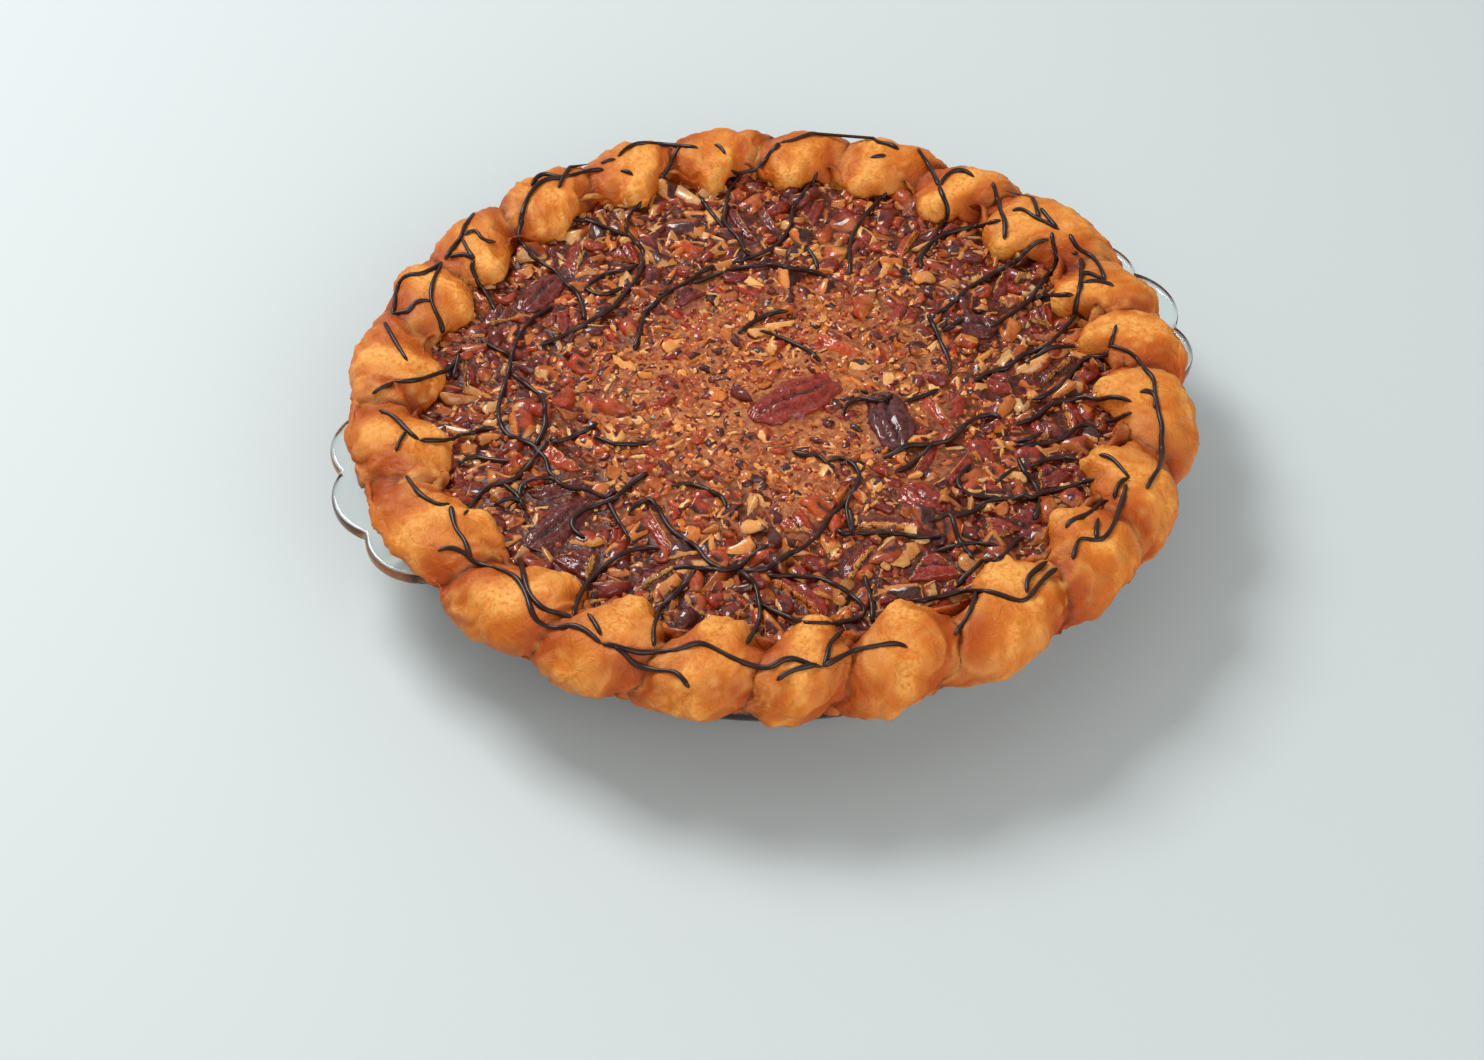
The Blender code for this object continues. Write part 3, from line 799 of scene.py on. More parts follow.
HALF_CUTS = ()
SLIVER_CUTS = (((0.1, 1.0, 0.3), 0.1),)
CHUNK_CUTS = (((1.0, 0.25, 0.15), 0.35), ((-1.0, 0.3, 0.1), 0.5))
TONES = {  # how red (low) or tan (high) the skin is, and how dark or pale the flesh
    "pecan_half_01": (0.42, 0.6), "pecan_half_02": (0.1, 0.4), "pecan_half_03": (0.5, 0.4),
    "pecan_half_04": (0.2, 0.5), "pecan_half_05": (0.3, 0.5), "pecan_half_06": (0.15, 0.3),
    "pecan_sliver_12": (0.5, 1.0), "pecan_sliver_17": (0.85, 1.0), "pecan_sliver_16": (0.8, 0.5),
    "pecan_sliver_03": (0.7, 0.9), "pecan_sliver_09": (0.8, 0.9), "pecan_chunk_09": (0.7, 0.7),
}  # fmt: skip
large_nuts = []
rnd = random.Random(41)
for name, node in sorted(frame["nodes"].items()):
    if not name.startswith("pecan"):
        continue
    spots = np.array([tuple(vertex.co) for vertex in node.data.vertices])
    middle = (spots.min(axis=0) + spots.max(axis=0)) / 2
    level = (spots - spots.mean(axis=0))[:, :2]
    heading = np.linalg.svd(level, full_matrices=False)[2][0]
    across_heading = np.array((-heading[1], heading[0]))
    size = (np.ptp(level @ heading), np.ptp(level @ across_heading), np.ptp(spots[:, 2]))
    kind = name.split("_")[1]
    cuts = {"half": HALF_CUTS, "sliver": SLIVER_CUTS, "chunk": CHUNK_CUTS}[kind]
    flip = rnd.choice((-1, 1))
    mesh = nut_mesh(name.replace("pecan", "nut"), size, cuts, rnd.uniform(0, 50))
    points = np.array([tuple(vertex.co) for vertex in mesh.vertices])
    turned = np.outer(points[:, 0] * flip, heading) + np.outer(points[:, 1] * flip, across_heading)
    points = np.column_stack((turned, points[:, 2])) + middle
    mesh.vertices.foreach_set("co", points.ravel())
    tone_here, ripeness_here = TONES.get(name, (rnd.uniform(0.15, 0.6), rnd.uniform(0.3, 0.9)))
    store(mesh, "tone", [tone_here] * len(mesh.vertices))
    store(mesh, "ripeness", [ripeness_here] * len(mesh.vertices))
    nut = place(name.replace("pecan", "nut"), mesh, pecan.material)
    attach(nut, "root")
    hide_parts(name)
    large_nuts.append((nut, middle, heading, across_heading, size))


# ---------------------------------------------------------------- chopped pecans
# Chopped pecans cover the custard: fine in the middle, coarser towards the edge. They are strewn by
# Geometry Nodes from a few broken shapes, each turned, tipped and sized at random, with no piece
# where a large nut lies.

FRAGMENTS = 12
BED_RINGS = 54
BED_COLUMNS = 216
NUT_MARGIN = 0.8 * MM
TIP = 0.6  # radians that a piece may lean either way
PLACES_PER_M2 = 4.0e6


def fragment_collection(name, stations, spokes):
    """A few broken nut shapes about 1 mm long, unlinked, to strew."""
    fragments = bpy.data.collections.new(name)
    for number in range(FRAGMENTS):
        cuts = []
        for _ in range(rnd.choice((1, 2, 2, 3))):
            lean = (rnd.uniform(-1, 1), rnd.uniform(-1, 1), rnd.uniform(-0.1, 0.5))
            cuts.append((lean, rnd.uniform(0.2, 0.65)))
        size = (1 * MM, rnd.uniform(0.5, 0.85) * MM, rnd.uniform(0.36, 0.56) * MM)
        mesh = nut_mesh(f"{name}_{number:02d}", size, cuts, rnd.uniform(0, 50), stations, spokes, 0.8)
        fragments.objects.link(bpy.data.objects.new(mesh.name, mesh))
    return fragments


def custard_bed():
    """The custard's top as a plain disc. On its points: the share of the way to the edge, and how
    free the place is of large nuts."""
    turns = [TAU * column / BED_COLUMNS for column in range(BED_COLUMNS)]
    radii = [(FILLING_RADIUS - 2.0 * MM) * ring / BED_RINGS for ring in range(1, BED_RINGS + 1)]
    spots = [(0.0, 0.0)] + [(r * math.cos(t), r * math.sin(t)) for r in radii for t in turns]
    faces = []
    for column in range(BED_COLUMNS):
        beside = (column + 1) % BED_COLUMNS
        faces.append((0, 1 + column, 1 + beside))
        for ring in range(BED_RINGS - 1):
            here = 1 + ring * BED_COLUMNS
            there = here + BED_COLUMNS
            faces.append((here + column, there + column, there + beside, here + beside))
    mesh = bpy.data.meshes.new("custard_bed")
    mesh.from_pydata([(x, y, custard_level(x, y)) for x, y in spots], [], faces)
    level = np.array(spots)
    free = np.ones(len(spots))
    for _, middle, heading, across_heading, size in large_nuts:
        off = level - middle[:2]
        along = (off @ heading) / (size[0] / 2 + NUT_MARGIN)
        beside = (off @ across_heading) / (size[1] / 2 + NUT_MARGIN)
        free[along**2 + beside**2 < 1.0] = 0.0
    store(mesh, "free", free)
    store(mesh, "outward", np.hypot(level[:, 0], level[:, 1]) / FILLING_RADIUS)
    return mesh


def strewing(name, fragments, spacing, shares, lengths, seed):
    """Broken nuts strewn on the custard. The share of places used goes from the first of shares in
    the middle to the second at the edge. Lengths are in mm, from the smallest to the largest."""
    tree = Tree(
        name,
        Fragments=fragments,
        Spacing=spacing,
        Share_in_the_middle=shares[0],
        Share_at_the_edge=shares[1],
        Smallest=lengths[0],
        Largest=lengths[1],
        Tip=TIP,
        Seed=seed,
    )
    outward = tree.attribute("outward").ease(0.15, 0.85)
    share = tree.size("Share_in_the_middle") * (1.0 - outward)
    share = share + tree.size("Share_at_the_edge") * outward
    spots = tree.node(
        "GeometryNodeDistributePointsOnFaces",
        {"distribute_method": "POISSON"},
        {
            "Mesh": tree.geometry,
            "Distance Min": tree.size("Spacing"),
            "Density Max": PLACES_PER_M2,
            "Density Factor": share * tree.attribute("free"),
            "Seed": tree.size("Seed"),
        },
    )
    grow = tree.random(0.0, 1.0, 1)
    scale = tree.size("Smallest") + (tree.size("Largest") - tree.size("Smallest")) * grow**2.0
    scale = scale * (outward * 0.25 + 0.8)
    tip = tree.size("Tip")
    tips = [tree.random(tip * -1.0, tip, field) for field in (2, 3)]
    spin = tree.random(0.0, TAU, 4)
    turn = tree.node("ShaderNodeCombineXYZ", None, {"X": tips[0], "Y": tips[1], "Z": spin})
    settings = {"transform_space": "ORIGINAL"}
    inputs = {"Collection": tree.size("Fragments"), "Separate Children": True, "Reset Children": True}
    shapes = tree.node("GeometryNodeCollectionInfo", settings, inputs)
    strewn = tree.node(
        "GeometryNodeInstanceOnPoints",
        None,
        {
            "Points": spots,
            "Instance": shapes,
            "Pick Instance": True,
            "Instance Index": tree.random(0, FRAGMENTS - 1, 5),
            "Rotation": turn,
            "Scale": scale,
        },
    )
    for attribute, field in (("tone", 6), ("ripeness", 7)):
        strewn = tree.keep(strewn, attribute, tree.random(0.0, 1.0, field), "INSTANCE")
    tree.finish(strewn, pecan.material)
    made = tree.made_from(custard_bed(), name)
    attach(made, "root")
    return made


pieces_shapes = fragment_collection("broken_pieces", 7, 8)
crumb_shapes = fragment_collection("broken_crumbs", 5, 6)
LAYERS = (
    ("chopped_pecans_coarse", pieces_shapes, 6.6 * MM, (0.25, 1.0), (8.0, 14.0), 11),
    ("chopped_pecans_medium", pieces_shapes, 4.1 * MM, (0.9, 1.0), (4.6, 8.4), 12),
    ("chopped_pecans_fine", crumb_shapes, 2.7 * MM, (1.0, 0.7), (2.2, 4.8), 13),
)
strewn_nuts = [strewing(*layer) for layer in LAYERS]


# ---------------------------------------------------------------- custard and glaze
# Baked syrup custard: matt and tan in the middle, where the sugar has crusted, and a dark shiny
# syrup full of small bubbles towards the edge. It creeps up round every nut that lies in it.

all_nuts = strewn_nuts + [row[0] for row in large_nuts]
FILLING_RINGS = 112
FILLING_COLUMNS = 620
GLAZE_STEP = 0.7 * MM
CREEP = ((2.4 * MM, 0.36), (0.8 * MM, 0.2))  # how far the glaze spreads, and how high it climbs


def surface(pieces):
    """All faces of these pieces, to be met by rays."""
    corners, faces = [], []
    for piece in pieces:
        first = len(corners)
        corners += [vertex.co[:] for vertex in piece.data.vertices]
        faces += [[first + corner for corner in face.vertices] for face in piece.data.polygons]
    return BVHTree.FromPolygons(corners, faces)


def nut_tops():
    """Height of the nuts above the custard, on a square grid seen from above."""
    tops = surface(all_nuts)
    count = int(2 * FILLING_RADIUS / GLAZE_STEP) + 3
    grid = np.zeros((count, count))
    down = Vector((0, 0, -1))
    for row in range(count):
        for column in range(count):
            x, y = ((place - (count - 1) / 2) * GLAZE_STEP for place in (column, row))
            if math.hypot(x, y) < FILLING_RADIUS:
                hit = tops.ray_cast(Vector((x, y, 2 * FILLING_EDGE_HEIGHT)), down)[0]
                grid[row, column] = max(hit.z - custard_level(x, y), 0.0) if hit else 0.0
    return grid


def blurred(grid, width):
    """The grid spread out by a soft brush of this width in metres."""
    reach = int(3 * width / GLAZE_STEP) + 1
    brush = np.exp(-((np.arange(-reach, reach + 1) * GLAZE_STEP / width) ** 2) / 2)
    brush /= brush.sum()
    for _ in range(2):
        grid = np.array([np.convolve(row, brush, "same") for row in grid]).T
    return grid


nut_heights = nut_tops()
rise = sum(blurred(nut_heights, width) * share for width, share in CREEP)


def glaze_height(x, y):
    """The custard's height with what creeps up round the nuts."""
    middle = (len(rise) - 1) / 2
    column, row = x / GLAZE_STEP + middle, y / GLAZE_STEP + middle
    c, r = int(column), int(row)
    if not (0 <= c < len(rise) - 1 and 0 <= r < len(rise) - 1):
        return custard_level(x, y)
    u, v = column - c, row - r
    low = rise[r, c] * (1 - u) + rise[r, c + 1] * u
    high = rise[r + 1, c] * (1 - u) + rise[r + 1, c + 1] * u
    return custard_level(x, y) + low * (1 - v) + high * v


def filling_section(azimuth):
    """From the underside's middle, up behind the pastry's inside, and in over the top."""
    floor = GLASS + PASTRY - INTO_GLASS
    inner = HEEL_RADIUS - GLASS - PASTRY
    rows = [(0.0, floor), (BASE_RADIUS - 7 * MM, floor), (inner, floor + 4.4 * MM)]
    rows.append((FILLING_RADIUS, FILLING_EDGE_HEIGHT - 4 * MM))
    rows.append((FILLING_RADIUS + 1.2 * MM, FILLING_EDGE_HEIGHT))
    for ring in range(FILLING_RINGS):
        radius = FILLING_RADIUS * (1 - ring / FILLING_RINGS)
        x, y = radius * math.cos(azimuth), radius * math.sin(azimuth)
        rows.append((radius, glaze_height(x, y)))
    return rows + [(0.0, glaze_height(0.0, 0.0))]


CRUSTED_DARK = linear(136, 66, 30)
CRUSTED_PALE = linear(196, 122, 66)
SYRUP_DARK = linear(32, 9, 5)
SYRUP_PALE = linear(112, 40, 13)
BLOTCH_SIZE = 19 * MM
SUGAR_SIZE = 2.2 * MM
BUBBLE_SIZE = 2.4 * MM

filling = Finish("baked_custard_and_syrup", Specular_IOR_Level=0.3, Subsurface_Weight=0.1)
filling.feed("Subsurface Scale", 1.5 * MM)
blotches = (filling.noise(BLOTCH_SIZE, 3.0) - 0.5) * 1.1
syrup = (filling.outward() * (1.0 / FILLING_RADIUS) + blotches).ease(0.2, 0.75)
sugar = filling.noise(SUGAR_SIZE, 4.0, 0.65)
crusted = sugar.ease(0.35, 0.7).mix(CRUSTED_DARK, CRUSTED_PALE)
wet = sugar.ease(0.3, 0.75).mix(SYRUP_DARK, SYRUP_PALE)
filling.feed("Base Color", syrup.mix(crusted, wet))
bubbles = 1.0 - filling.cells(BUBBLE_SIZE).ease(0.15, 0.45)
filling.feed("Roughness", (1.0 - syrup) * 0.3 + sugar * 0.2 + 0.22)
filling.feed("Coat Weight", syrup * bubbles * 0.6)
filling.feed("Coat Roughness", 0.12)
filling.bump(sugar * 0.7 + bubbles * 0.5 + filling.noise(0.9 * MM, 3.0) * 0.4, 0.5 * MM, 0.8)

custard_mesh = lofted("custard_and_glaze", filling_section, FILLING_COLUMNS)
custard = place("custard_and_glaze", custard_mesh, filling.material)
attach(custard, "root")
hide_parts("filling")


# ---------------------------------------------------------------- chocolate drizzle
# Melted dark chocolate thrown across the baked pie from a spoon: thin round cords that cross, loop
# and merge, drape over nuts and flutes and set there. Geometry Nodes make each cord round along its
# route, with a thickness that wavers as the spoon moved.

# Each route in mm, as it looks on a level plane through the filling's top from the maker's place.
DRIZZLE_ROUTES = """
-6,103 -13,96.5 -17,88 -15,83 -14,76.5 -17,69 -23,62 -28,58 -32,53.5 -41,50.5 -47,47 -60,44.5;
-31,101 -24,96.5 -21,91 -17,86.5;
-38,66 -33.5,69 -27,71 -23.5,69.5 -18,71;
-38,66 -36,61 -31,60.5 -26,62;
5,62 -1,60.5 -7,57 -13,55 -17,52.5 -23,49 -26.5,44 -29.5,37 -33,32;
-46,107 -48,102.5 -50,100 -50,95 -49,86 -47,82.5 -44,78 -43.5,72 -41,66 -41,58 -43,51;
-50,61 -58,58 -62,54 -66,49.5 -69,44 -73,35 -77,28 -81,21 -82,14 -82,9 -78,5 -75,1 -74,-3;
-76.5,53.5 -73.5,48 -70,43.5;
-72,35 -69.5,29 -67,23.5 -66,19 -68,14 -69,9 -72,5 -75,1;
-107,16 -99,12.5 -95,14 -89.5,13.5 -86.5,14 -83.5,12.5;
-99,1 -96,4 -92.5,2.5 -89,-0.5 -84,-2.5;
-70,1 -65,0.5 -60,2 -54,4;
-107,44 -100,42 -95,42.5 -89.5,44.5 -84,46.5;
-89.5,39.5 -86.5,45 -84.5,50;
-66.9,91.9 -69,89 -69,84 -69,80 -68,72 -68,66;
31,105 26,100.5 22,96 19,89.5 16,84 15,80.5 16,78 17,72 16.5,66 17,62.5;
12.5,96.5 13,89.5 13.5,84 14,79;
54,96 50.5,92 46,87 41,83.5 38,79 36,73.5 32.5,69 28,65 22,62.5 12,61;
72,79 69,76 64,72 59,68 53.5,62.5 50.5,58 48,53.5 46,47 43.5,42;
101,51 90.5,51 83.5,51 78,50.5 72,46.5 68,42 66.5,37;
100,32.5 95,29.5 90.5,28 86,26.5 81,24 76.5,23.5 72,19.5 66.5,16.5 62.5,15 59.5,13.5;
102.5,19 97,15 93.5,11 89.5,9 83.5,6 76,3.5;
59.5,16 59,7 58,1 57.5,-5 56.5,-10 54,-13.5;
60.5,6 64,8 69.5,9.5;
-5,56 0,57 6.5,58 14,58 20.5,56.5 26,53.5 29.5,50.5 33.5,48 36.5,44;
36,60.5 36.5,53.5 35,48;
0,28 6.5,32 13.5,33.5 19.5,34;
7,27 10.5,23.5 13.5,19.5 16.5,15 19,11 19.5,6;
89,75 88,69 87,61 82,55 79,53.5;
-103.5,-19.5 -99.5,-16 -95,-11 -89.5,-10.5 -84,-10.5 -81,-8 -76.5,-3.5 -73.5,-0.5 -70.5,2;
-94,-19 -90.5,-17 -87,-18 -86,-20.5;
-89,-11 -87,-15 -86,-19 -86,-24;
-86,-19 -85,-15 -82.5,-12.5 -79,-12 -75,-13.5 -72.5,-17 -71,-20.5 -67,-21 -65,-24 -62,-28;
-76,0.5 -73.5,-3.5 -74,-8 -75,-12 -72,-16.5;
-57,-1 -54,-5 -49.5,-8 -44,-9.5 -41,-9;
-47,-21.5 -52,-23.5 -56,-26.5 -61,-29 -67,-29.5 -71,-30 -74,-32 -76,-36.5 -73,-41;
-62,-29 -62,-35 -61.5,-41 -61,-47;
-58,-36 -56,-33.5 -51,-32 -49.5,-33 -49,-39.5 -49,-47 -46,-52 -43.5,-56.5 -43.5,-62 -41,-66.5
-36,-69;
-42.5,-29.5 -38,-29.5 -35,-32.5 -31,-36.5 -29.5,-40.5 -30.5,-44;
-31,-48 -28,-45 -25,-44;
-53.5,-62 -49.5,-62 -46,-65 -41,-67 -36,-69 -32,-66 -28,-63.5 -24,-62.5;
-86,-69.5 -82.5,-63.5 -79.5,-59.5 -75,-56.5 -71,-53.5 -67,-51 -61,-50.5 -56.5,-51.5 -54,-53;
-47,-64 -52,-69 -56.5,-72 -62,-75 -65,-79.5 -67,-84 -68.5,-89;
-36,-69 -33.5,-73.5 -33.5,-78 -35,-83.5 -36.5,-89.5 -41,-94 -44,-97;
-36,-81 -33.5,-86 -29.5,-91 -26,-95 -20.5,-97 -14,-99 -9,-99 -7,-95 -9.5,-89.5 -10.5,-86 -14,-81
-19,-78 -24,-76 -29,-74;
-36,-69.5 -29.5,-72 -23.5,-69 -19,-68 -12.5,-66.5 -7,-62 -3.5,-58 0.5,-56 5,-53;
-3.5,-63.5 -2,-66.5 1,-66.5 2.5,-61 3.5,-56.5;
-2.5,-83.5 -4,-89 -5,-96 -8,-102;
-3.5,-28 -1,-31 4,-32 4,-36 6,-39.5;
5,-36 9,-35 11,-38 12,-40.5 12,-45 9,-49 5,-52.5 2.5,-56.5 1,-62.5 0.5,-68;
11,-38 15,-41;
16.5,-19 19,-15 22,-13.5 26,-13.5 28,-16 32,-17 35,-15;
26,-9.5 28,-12.5;
21,-40.5 26,-39.5 30.5,-37 33.5,-39.5 38,-40 42.5,-40.5 47,-38 50.5,-35 55,-33.5 59.5,-34 62,-37;
22,-47 26,-47 29.5,-45 34,-42.5 38,-39;
36.5,-19.5 42.5,-19.5 49,-18;
59.5,-19 64,-17 69,-16 72.5,-17 76.5,-14 80.5,-12.5 86,-12 90.5,-10.5 95,-7 100.5,-3.5 105,0.5;
79,-16.5 83.5,-15 88,-12 92,-12.5 96.5,-15;
73.5,-32.5 79.5,-32 84,-29.5 89,-26.5 92.5,-24 96,-21 99.5,-20.5 102.5,-22.5 106,-19.5;
64,-41 70.5,-40.5 75,-38 79,-36 84,-37 90.5,-36.5 95,-39 99.5,-40.5 102,-44;
61,-48 66,-48 70.5,-47;
60.5,-49.5 67,-51.5 72.5,-52 77,-51 81,-48 84,-48 86.5,-50.5;
90.5,-49 95,-49 100,-48;
59,-54 58,-60.5 59,-66 58.5,-71 56,-76 52,-80.5;
61,-59 66.5,-58 72,-59 76,-62;
45,-52 40.5,-54 37,-58 38,-62.5 41,-66 43.5,-67 47,-68;
48,-62 52.5,-59.5 57,-58;
31,-71 36.5,-71 40.5,-69.5 45,-68 49,-69.5 54,-71 59.5,-71 66,-71 72,-71 77,-70.5;
1,-67 6.5,-69 12,-70.5 15,-73.5 20.5,-76 26,-77;
23.5,-70.5 28,-69 31,-69 29.5,-75 28,-81 29.5,-89;
20.5,-82 26,-82 30.5,-82 35,-84 38,-86;
31,-90.5 36,-92 39.5,-89 44,-86 47,-86;
20.5,-97 24,-94 29,-92 32,-89.5;
-77,94 -84,91 -86.5,91 -89,92.5 -92,90.5 -95,85 -97,80 -99,75;
-77,94 -81,89 -83.5,84 -85.5,79 -86,72 -85.5,66 -86.5,61;
-99,75 -96.5,75.5 -94,74 -92,77 -89,79 -86,77;
-102.5,72.5 -102,67 -101.5,59.5 -100.5,52;
-115,40.5 -111.5,43.5 -109,42.5 -107,44;
-115,33 -112,30.5 -110.5,26.5 -109.5,22 -107,16;
-115,13.5 -112.5,18 -109.5,21;
119.5,11.1 115,19 112,13.5 109.5,9.5 106,4 101,-3.5;
94,11 102.5,10.5 107,8;
-115,2.5 -114,-2.5 -113.5,-6.5 -111,-10.5 -109,-13.5 -106,-14;
-106,-14.5 -107,-20.5 -107.5,-25 -106,-29 -106.5,-35 -107,-39;
-115,-31.5 -112,-30.5 -109,-32.5 -107,-36.5 -106.5,-39.5 -103.5,-42 -100.5,-44 -97,-48 -96,-52.5
-96,-59 -97,-66 -95,-70.5 -92,-73 -88,-72 -85,-75 -83,-79.5 -82,-82.5;
-93.5,-42 -94,-48 -95.5,-55 -94,-63.5 -90.5,-66.5 -86.5,-70;
-82,-70 -81,-74 -81,-79.5;
-82,-82.5 -79.5,-84 -76.5,-86.5 -73,-90 -68,-91 -62.5,-92.5 -56.5,-91 -53.5,-94 -50.5,-99 -47,-103.5
-44,-106.5 -40.5,-108 -36,-105.5 -32.5,-107 -29.5,-111 -27,-112.5;
-79,-84.5 -76.5,-89.5 -76,-94 -71,-97.5 -66.5,-99 -65,-102 -64.5,-107;
-41,-113 -38,-111 -33.5,-110.5 -28,-111;
-27,-112.5 -24,-109 -22,-104 -16.5,-102;
-27,-112.5 -21,-110.5 -15,-109.5 -9,-110.5 -4,-111 -2,-114;
107,-18 110.5,-21 112.5,-25 112,-30.5 113.5,-36.5 111,-41 109,-47 107,-52 106,-57 102.5,-62.5
100.5,-68 96.5,-73.5 92.5,-76.5 89,-80;
106,-41 109,-40.5 110.5,-44 107,-49;
106,-19.5 109.5,-15 113.5,-9.5;
82,-62 85,-62.5 86,-68 86.5,-74;
78,-80.5 80.5,-77 83.5,-74 86.5,-74;
84.5,-76 81,-81 77,-86 72.5,-91 68,-95 64,-93.5 62,-91 59.5,-94 56,-99;
59.5,-86.5 62.5,-84 67,-84 71,-82 76.5,-80;
70.5,-86 68,-89.5 66,-94;
6,-97.5 10.5,-99 16,-99.5 20.5,-99 25,-100 29,-102.5 32.5,-106.5 35,-109 38,-108.5 42,-105 46.5,-102
50.5,-100.5;
25,-100.5 22,-105 18,-109.5 12,-114.5;
38,-106.5 40.5,-101 44,-99 49,-97;
-76,95.3 -71.6,100.7 -67.6,104 -65.1,110.2 -61.1,113.6 -56.8,118 -54,121.3 -51.7,121.4;
-74.4,95.9 -70.7,96.2 -68,95.2 -66.9,91.9;
-67.6,104 -67.6,98 -66.9,91.9;
-67,104.9 -63.9,106.8 -61.8,106.3 -61.9,102.4 -60.8,99.7 -57.7,97.9;
-38.2,122.2 -35.5,126.2 -32.2,126.8 -29.7,125.3 -27.5,122.6 -22.7,123.3 -18.1,123.4 -12.7,122.4;
-48.3,102.1 -46.1,107.9 -42.4,115.1 -37.9,120.8 -34,123.7 -30.1,124.1 -26.9,122;
-30.1,117.9 -27.7,122 -23.8,126.8 -19.9,129.4 -17.4,128.9 -16.4,127.2;
-12.7,125.8 -9.4,126.5 -7.2,126.3;
-6.1,127.2 -2.7,130.4 0.9,131.8 5.4,131.4 9.1,128.5 13.7,126.2 18.5,124.4 20.9,122.2;
-7.9,119.6 -5.5,118.7 -4.6,115.9;
15.8,125.4 13.4,123.1 9.5,117.5 5.3,112.2 3,111.1;
26.7,122.2 28.6,119.9 28.2,115.6;
47.9,115.3 43.6,111.8 39.6,107.5 35.4,104.7 30.7,104.6 27.2,107.7;
47.9,115.3 52.5,114.9 57.7,116.2 63.4,116.4 67.5,114.7 70.3,111.9 72.3,112.9 75.4,112.8 77.4,110.7
78,105.4 80.2,103 83.2,100.8 84.1,97.6;
70.7,119.8 72.5,118.4 72.8,115.1 72.7,112.8;
73.3,96.9 76,96.8 79,96.3;
87.7,98.1 91.7,98.3 96.2,97.5 100.1,95.5 102,92.5 103.5,89.4 103.3,86.3;
90.5,98.1 90.3,93 90.2,85.4 89.6,79.4 89.1,74.6;
89.1,74.6 92.9,78.8 96,80.5 99,80.3 101.3,78.2 101.8,74.8;
106.6,70.5 105.9,67.1 104.2,61.5 102.8,55.9 102.3,51.3 100.7,47 97.6,41;
111.7,70.5 114.7,67.5 116.2,62 115.4,56.1 113.6,49.5 112.9,47.3;
106.2,54 109,54.8 110.9,52.3 111.9,47.6 114.6,44.8 115.8,40.8 116.9,39.8;
115.7,52.3 115.9,46.1 116.5,40.5;
114.1,39.6 111.7,34.5 110.7,29 107.9,23 103.7,19.9 99.3,17 96.7,14.7;
111.4,36.4 107.6,36.6 102.7,34.3 98,30.8 93.1,28.5 88.3,28;
118.9,36.6 118.5,33.2 118,28 120.6,24.7 121.3,20.3 120.5,14.8 119.5,11.1;
115.3,27.3 117.3,26.5;
117,24.3 116.2,21.1 113.2,16.4 110.4,9.6;
112.2,12.7 115.6,12.6 118.6,10.9 121,7.7;
"""
MAKER_PLACE = Vector((-0.2310, -0.5937, 0.6150))
ROUTE_PLANE = 39.0 * MM
CORD_STEP = 0.9 * MM
CORD_RADIUS = 0.74 * MM
CORD_WAVER = 0.26
CORD_SIDES = 9
SPAN_HEIGHT = 1.3 * MM  # how far a cord stays above the hollows that it spans
END_POINTS = 3
STAND_OFF = 0.35  # how far a cord's middle line stands off the pie towards the maker, in radii
CLEAR = 0.2  # and how far above what is right under it
BELOW_CREST = 0.5

pie_top = surface([case, custard] + all_nuts)


ABOVE = Vector((0, 0, 20 * MM))
DOWN = Vector((0, 0, -1))


def evened(values, reach):
    """The values averaged with their neighbours, the ends kept."""
    padded = np.concatenate(([values[0]] * reach, values, [values[-1]] * reach))
    return np.convolve(padded, np.ones(2 * reach + 1) / (2 * reach + 1), "valid")


def draped(route):
    """The cord's middle line, laid on what is first met from the maker's place."""
    marks = [tuple(float(part) * MM for part in pair.split(",")) for pair in route.split()]
    length = sum(math.dist(a, b) for a, b in zip(marks, marks[1:]))
    if len(marks) > 2:
        marks = [marks[0]] + spline(marks, 8)[1:]
    steps = max(int(length / CORD_STEP), 4)
    gone = np.concatenate(([0], np.cumsum([math.dist(a, b) for a, b in zip(marks, marks[1:])])))
    even = np.linspace(0, gone[-1], steps + 1)
    level = [np.interp(even, gone, [mark[axis] for mark in marks]) for axis in (0, 1)]
    rays, depths = [], []
    for x, y in zip(*level):
        ray = (Vector((x, y, ROUTE_PLANE)) - MAKER_PLACE).normalized()
        depth = pie_top.ray_cast(MAKER_PLACE, ray)[3]
        if depth:
            rays.append(ray)
            depths.append(depth)
    if len(depths) < 4:
        return []
    near = np.array([min(depths[max(i - 1, 0) : i + 2]) for i in range(len(depths))])
    depths = np.minimum(evened(evened(near, 2), 1), np.array(depths)) - STAND_OFF * CORD_RADIUS
    line = [MAKER_PLACE + ray * depth for ray, depth in zip(rays, depths)]
    under = []
    for point in line:
        hit = pie_top.ray_cast(point + ABOVE, DOWN)[0]
        under.append(hit.z if hit else point.z)
    heights = [min(point.z, low + SPAN_HEIGHT) for point, low in zip(line, under)]
    heights = np.maximum(evened(np.array(heights), 2), np.array(under) + CLEAR * CORD_RADIUS)
    heights = np.minimum(evened(heights, 1), crust_high.z - BELOW_CREST * CORD_RADIUS)
    return [Vector((point.x, point.y, height)) for point, height in zip(line, heights)]


points, edges, thickness = [], [], []
for number, route in enumerate(DRIZZLE_ROUTES.replace("\n", " ").split(";")):
    line = draped(route) if route.strip() else []
    first = len(points)
    points += line
    edges += [(first + i, first + i + 1) for i in range(len(line) - 1)]
    for i in range(len(line)):
        waver = 1.0 + CORD_WAVER * 1.6 * noise.noise(Vector((i * 0.12, number * 3.1, 0.0)))
        from_end = min(i, len(line) - 1 - i) / END_POINTS
        rounded = math.sqrt(1 - (1 - min(from_end, 1.0)) ** 2)
        thickness.append(CORD_RADIUS * waver * max(rounded, 0.15))
mesh = bpy.data.meshes.new("drizzle_lines")
mesh.from_pydata(points, edges, [])
store(mesh, "thickness", thickness)

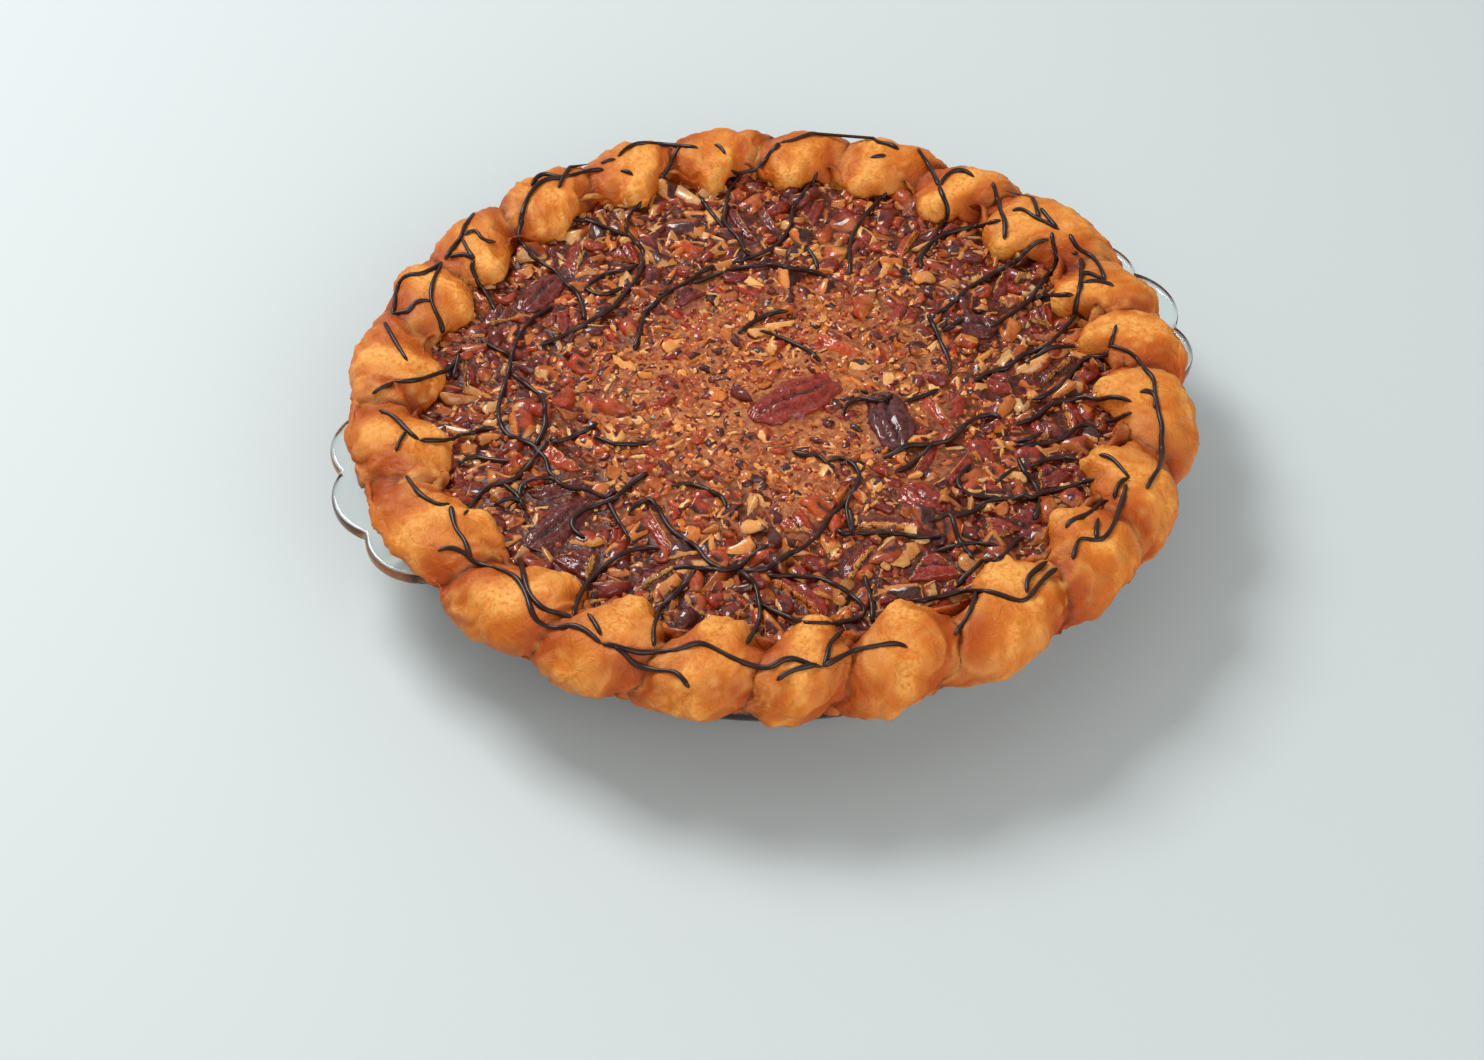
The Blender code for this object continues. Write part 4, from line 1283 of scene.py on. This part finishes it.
chocolate = Finish("dark_chocolate", Specular_IOR_Level=0.3)
melt = chocolate.noise(5 * MM, 2.0)
chocolate.feed("Base Color", melt.ease(0.3, 0.7).mix(linear(34, 16, 14), linear(52, 28, 22)))
chocolate.feed("Roughness", melt * 0.2 + 0.24)
chocolate.bump(chocolate.noise(1.5 * MM, 2.0), 0.12 * MM, 0.5)

cords = Tree("Round cords", Sides=CORD_SIDES)
route = cords.node("GeometryNodeMeshToCurve", None, {"Mesh": cords.geometry})
inputs = {"Resolution": cords.size("Sides"), "Radius": 1.0}
ring = cords.node("GeometryNodeCurvePrimitiveCircle", None, inputs)
inputs = {"Curve": route, "Profile Curve": ring, "Fill Caps": True}
inputs["Scale"] = cords.attribute("thickness")
cords.finish(cords.node("GeometryNodeCurveToMesh", None, inputs), chocolate.material)
drizzle = cords.made_from(mesh, "chocolate_drizzle")
drizzle.data.shade_smooth()
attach(drizzle, "root")


# ---------------------------------------------------------------- stage, light and camera
# The pie stands on a wide pale table. A soft window lamp behind it to the left and a large soft
# fill in front light it, with an even grey room all round, and the camera is where the maker stood.

CAMERA_AIM = Vector((-0.01556, -0.01763, 0.0))
LENS = 67.7
TABLE_HALF = 8.0  # metres
ROOM_LIGHT = 0.45

floor_finish = Finish("pale_table", Base_Color=linear(192, 200, 200), Roughness=0.6)
floor_mesh = bpy.data.meshes.new("table")
corners = [(x * TABLE_HALF, y * TABLE_HALF, 0) for x, y in ((-1, -1), (1, -1), (1, 1), (-1, 1))]
floor_mesh.from_pydata(corners, [], [(0, 1, 2, 3)])
floor = place("table", floor_mesh, floor_finish.material)
floor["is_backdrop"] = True


def lamp(name, direction, distance, width, power):
    """A square soft lamp that looks at the pie from this azimuth and elevation, in degrees."""
    data = bpy.data.lights.new(name, "AREA")
    data.size = width
    data.energy = power
    holder = bpy.data.objects.new(name, data)
    bpy.context.scene.collection.objects.link(holder)
    azimuth, elevation = (math.radians(angle) for angle in direction)
    flat = math.cos(elevation)
    away = Vector((flat * math.cos(azimuth), flat * math.sin(azimuth), math.sin(elevation)))
    holder.location = away * distance
    holder.rotation_euler = (-away).to_track_quat("-Z", "Y").to_euler()


lamp("window", (118, 50), 1.5, 0.6, 19.0)
lamp("fill", (-85, 26), 1.8, 1.6, 21.0)
world = bpy.data.worlds.new("studio")
world.use_nodes = True
world.node_tree.nodes["Background"].inputs["Color"].default_value = (1, 1, 1, 1)
world.node_tree.nodes["Background"].inputs["Strength"].default_value = ROOM_LIGHT
bpy.context.scene.world = world

camera = bpy.data.objects.new("camera", bpy.data.cameras.new("camera"))
camera.data.lens = LENS
camera.data.clip_start = 0.01
camera.location = MAKER_PLACE
camera.rotation_euler = (CAMERA_AIM - MAKER_PLACE).to_track_quat("-Z", "Y").to_euler()
bpy.context.scene.collection.objects.link(camera)
bpy.context.scene.camera = camera
bpy.context.scene.view_settings.view_transform = "Standard"

boxes = {"cad": cad_box, "visual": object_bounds()}
{k: [list(corner) for corner in box] for k, box in boxes.items()}
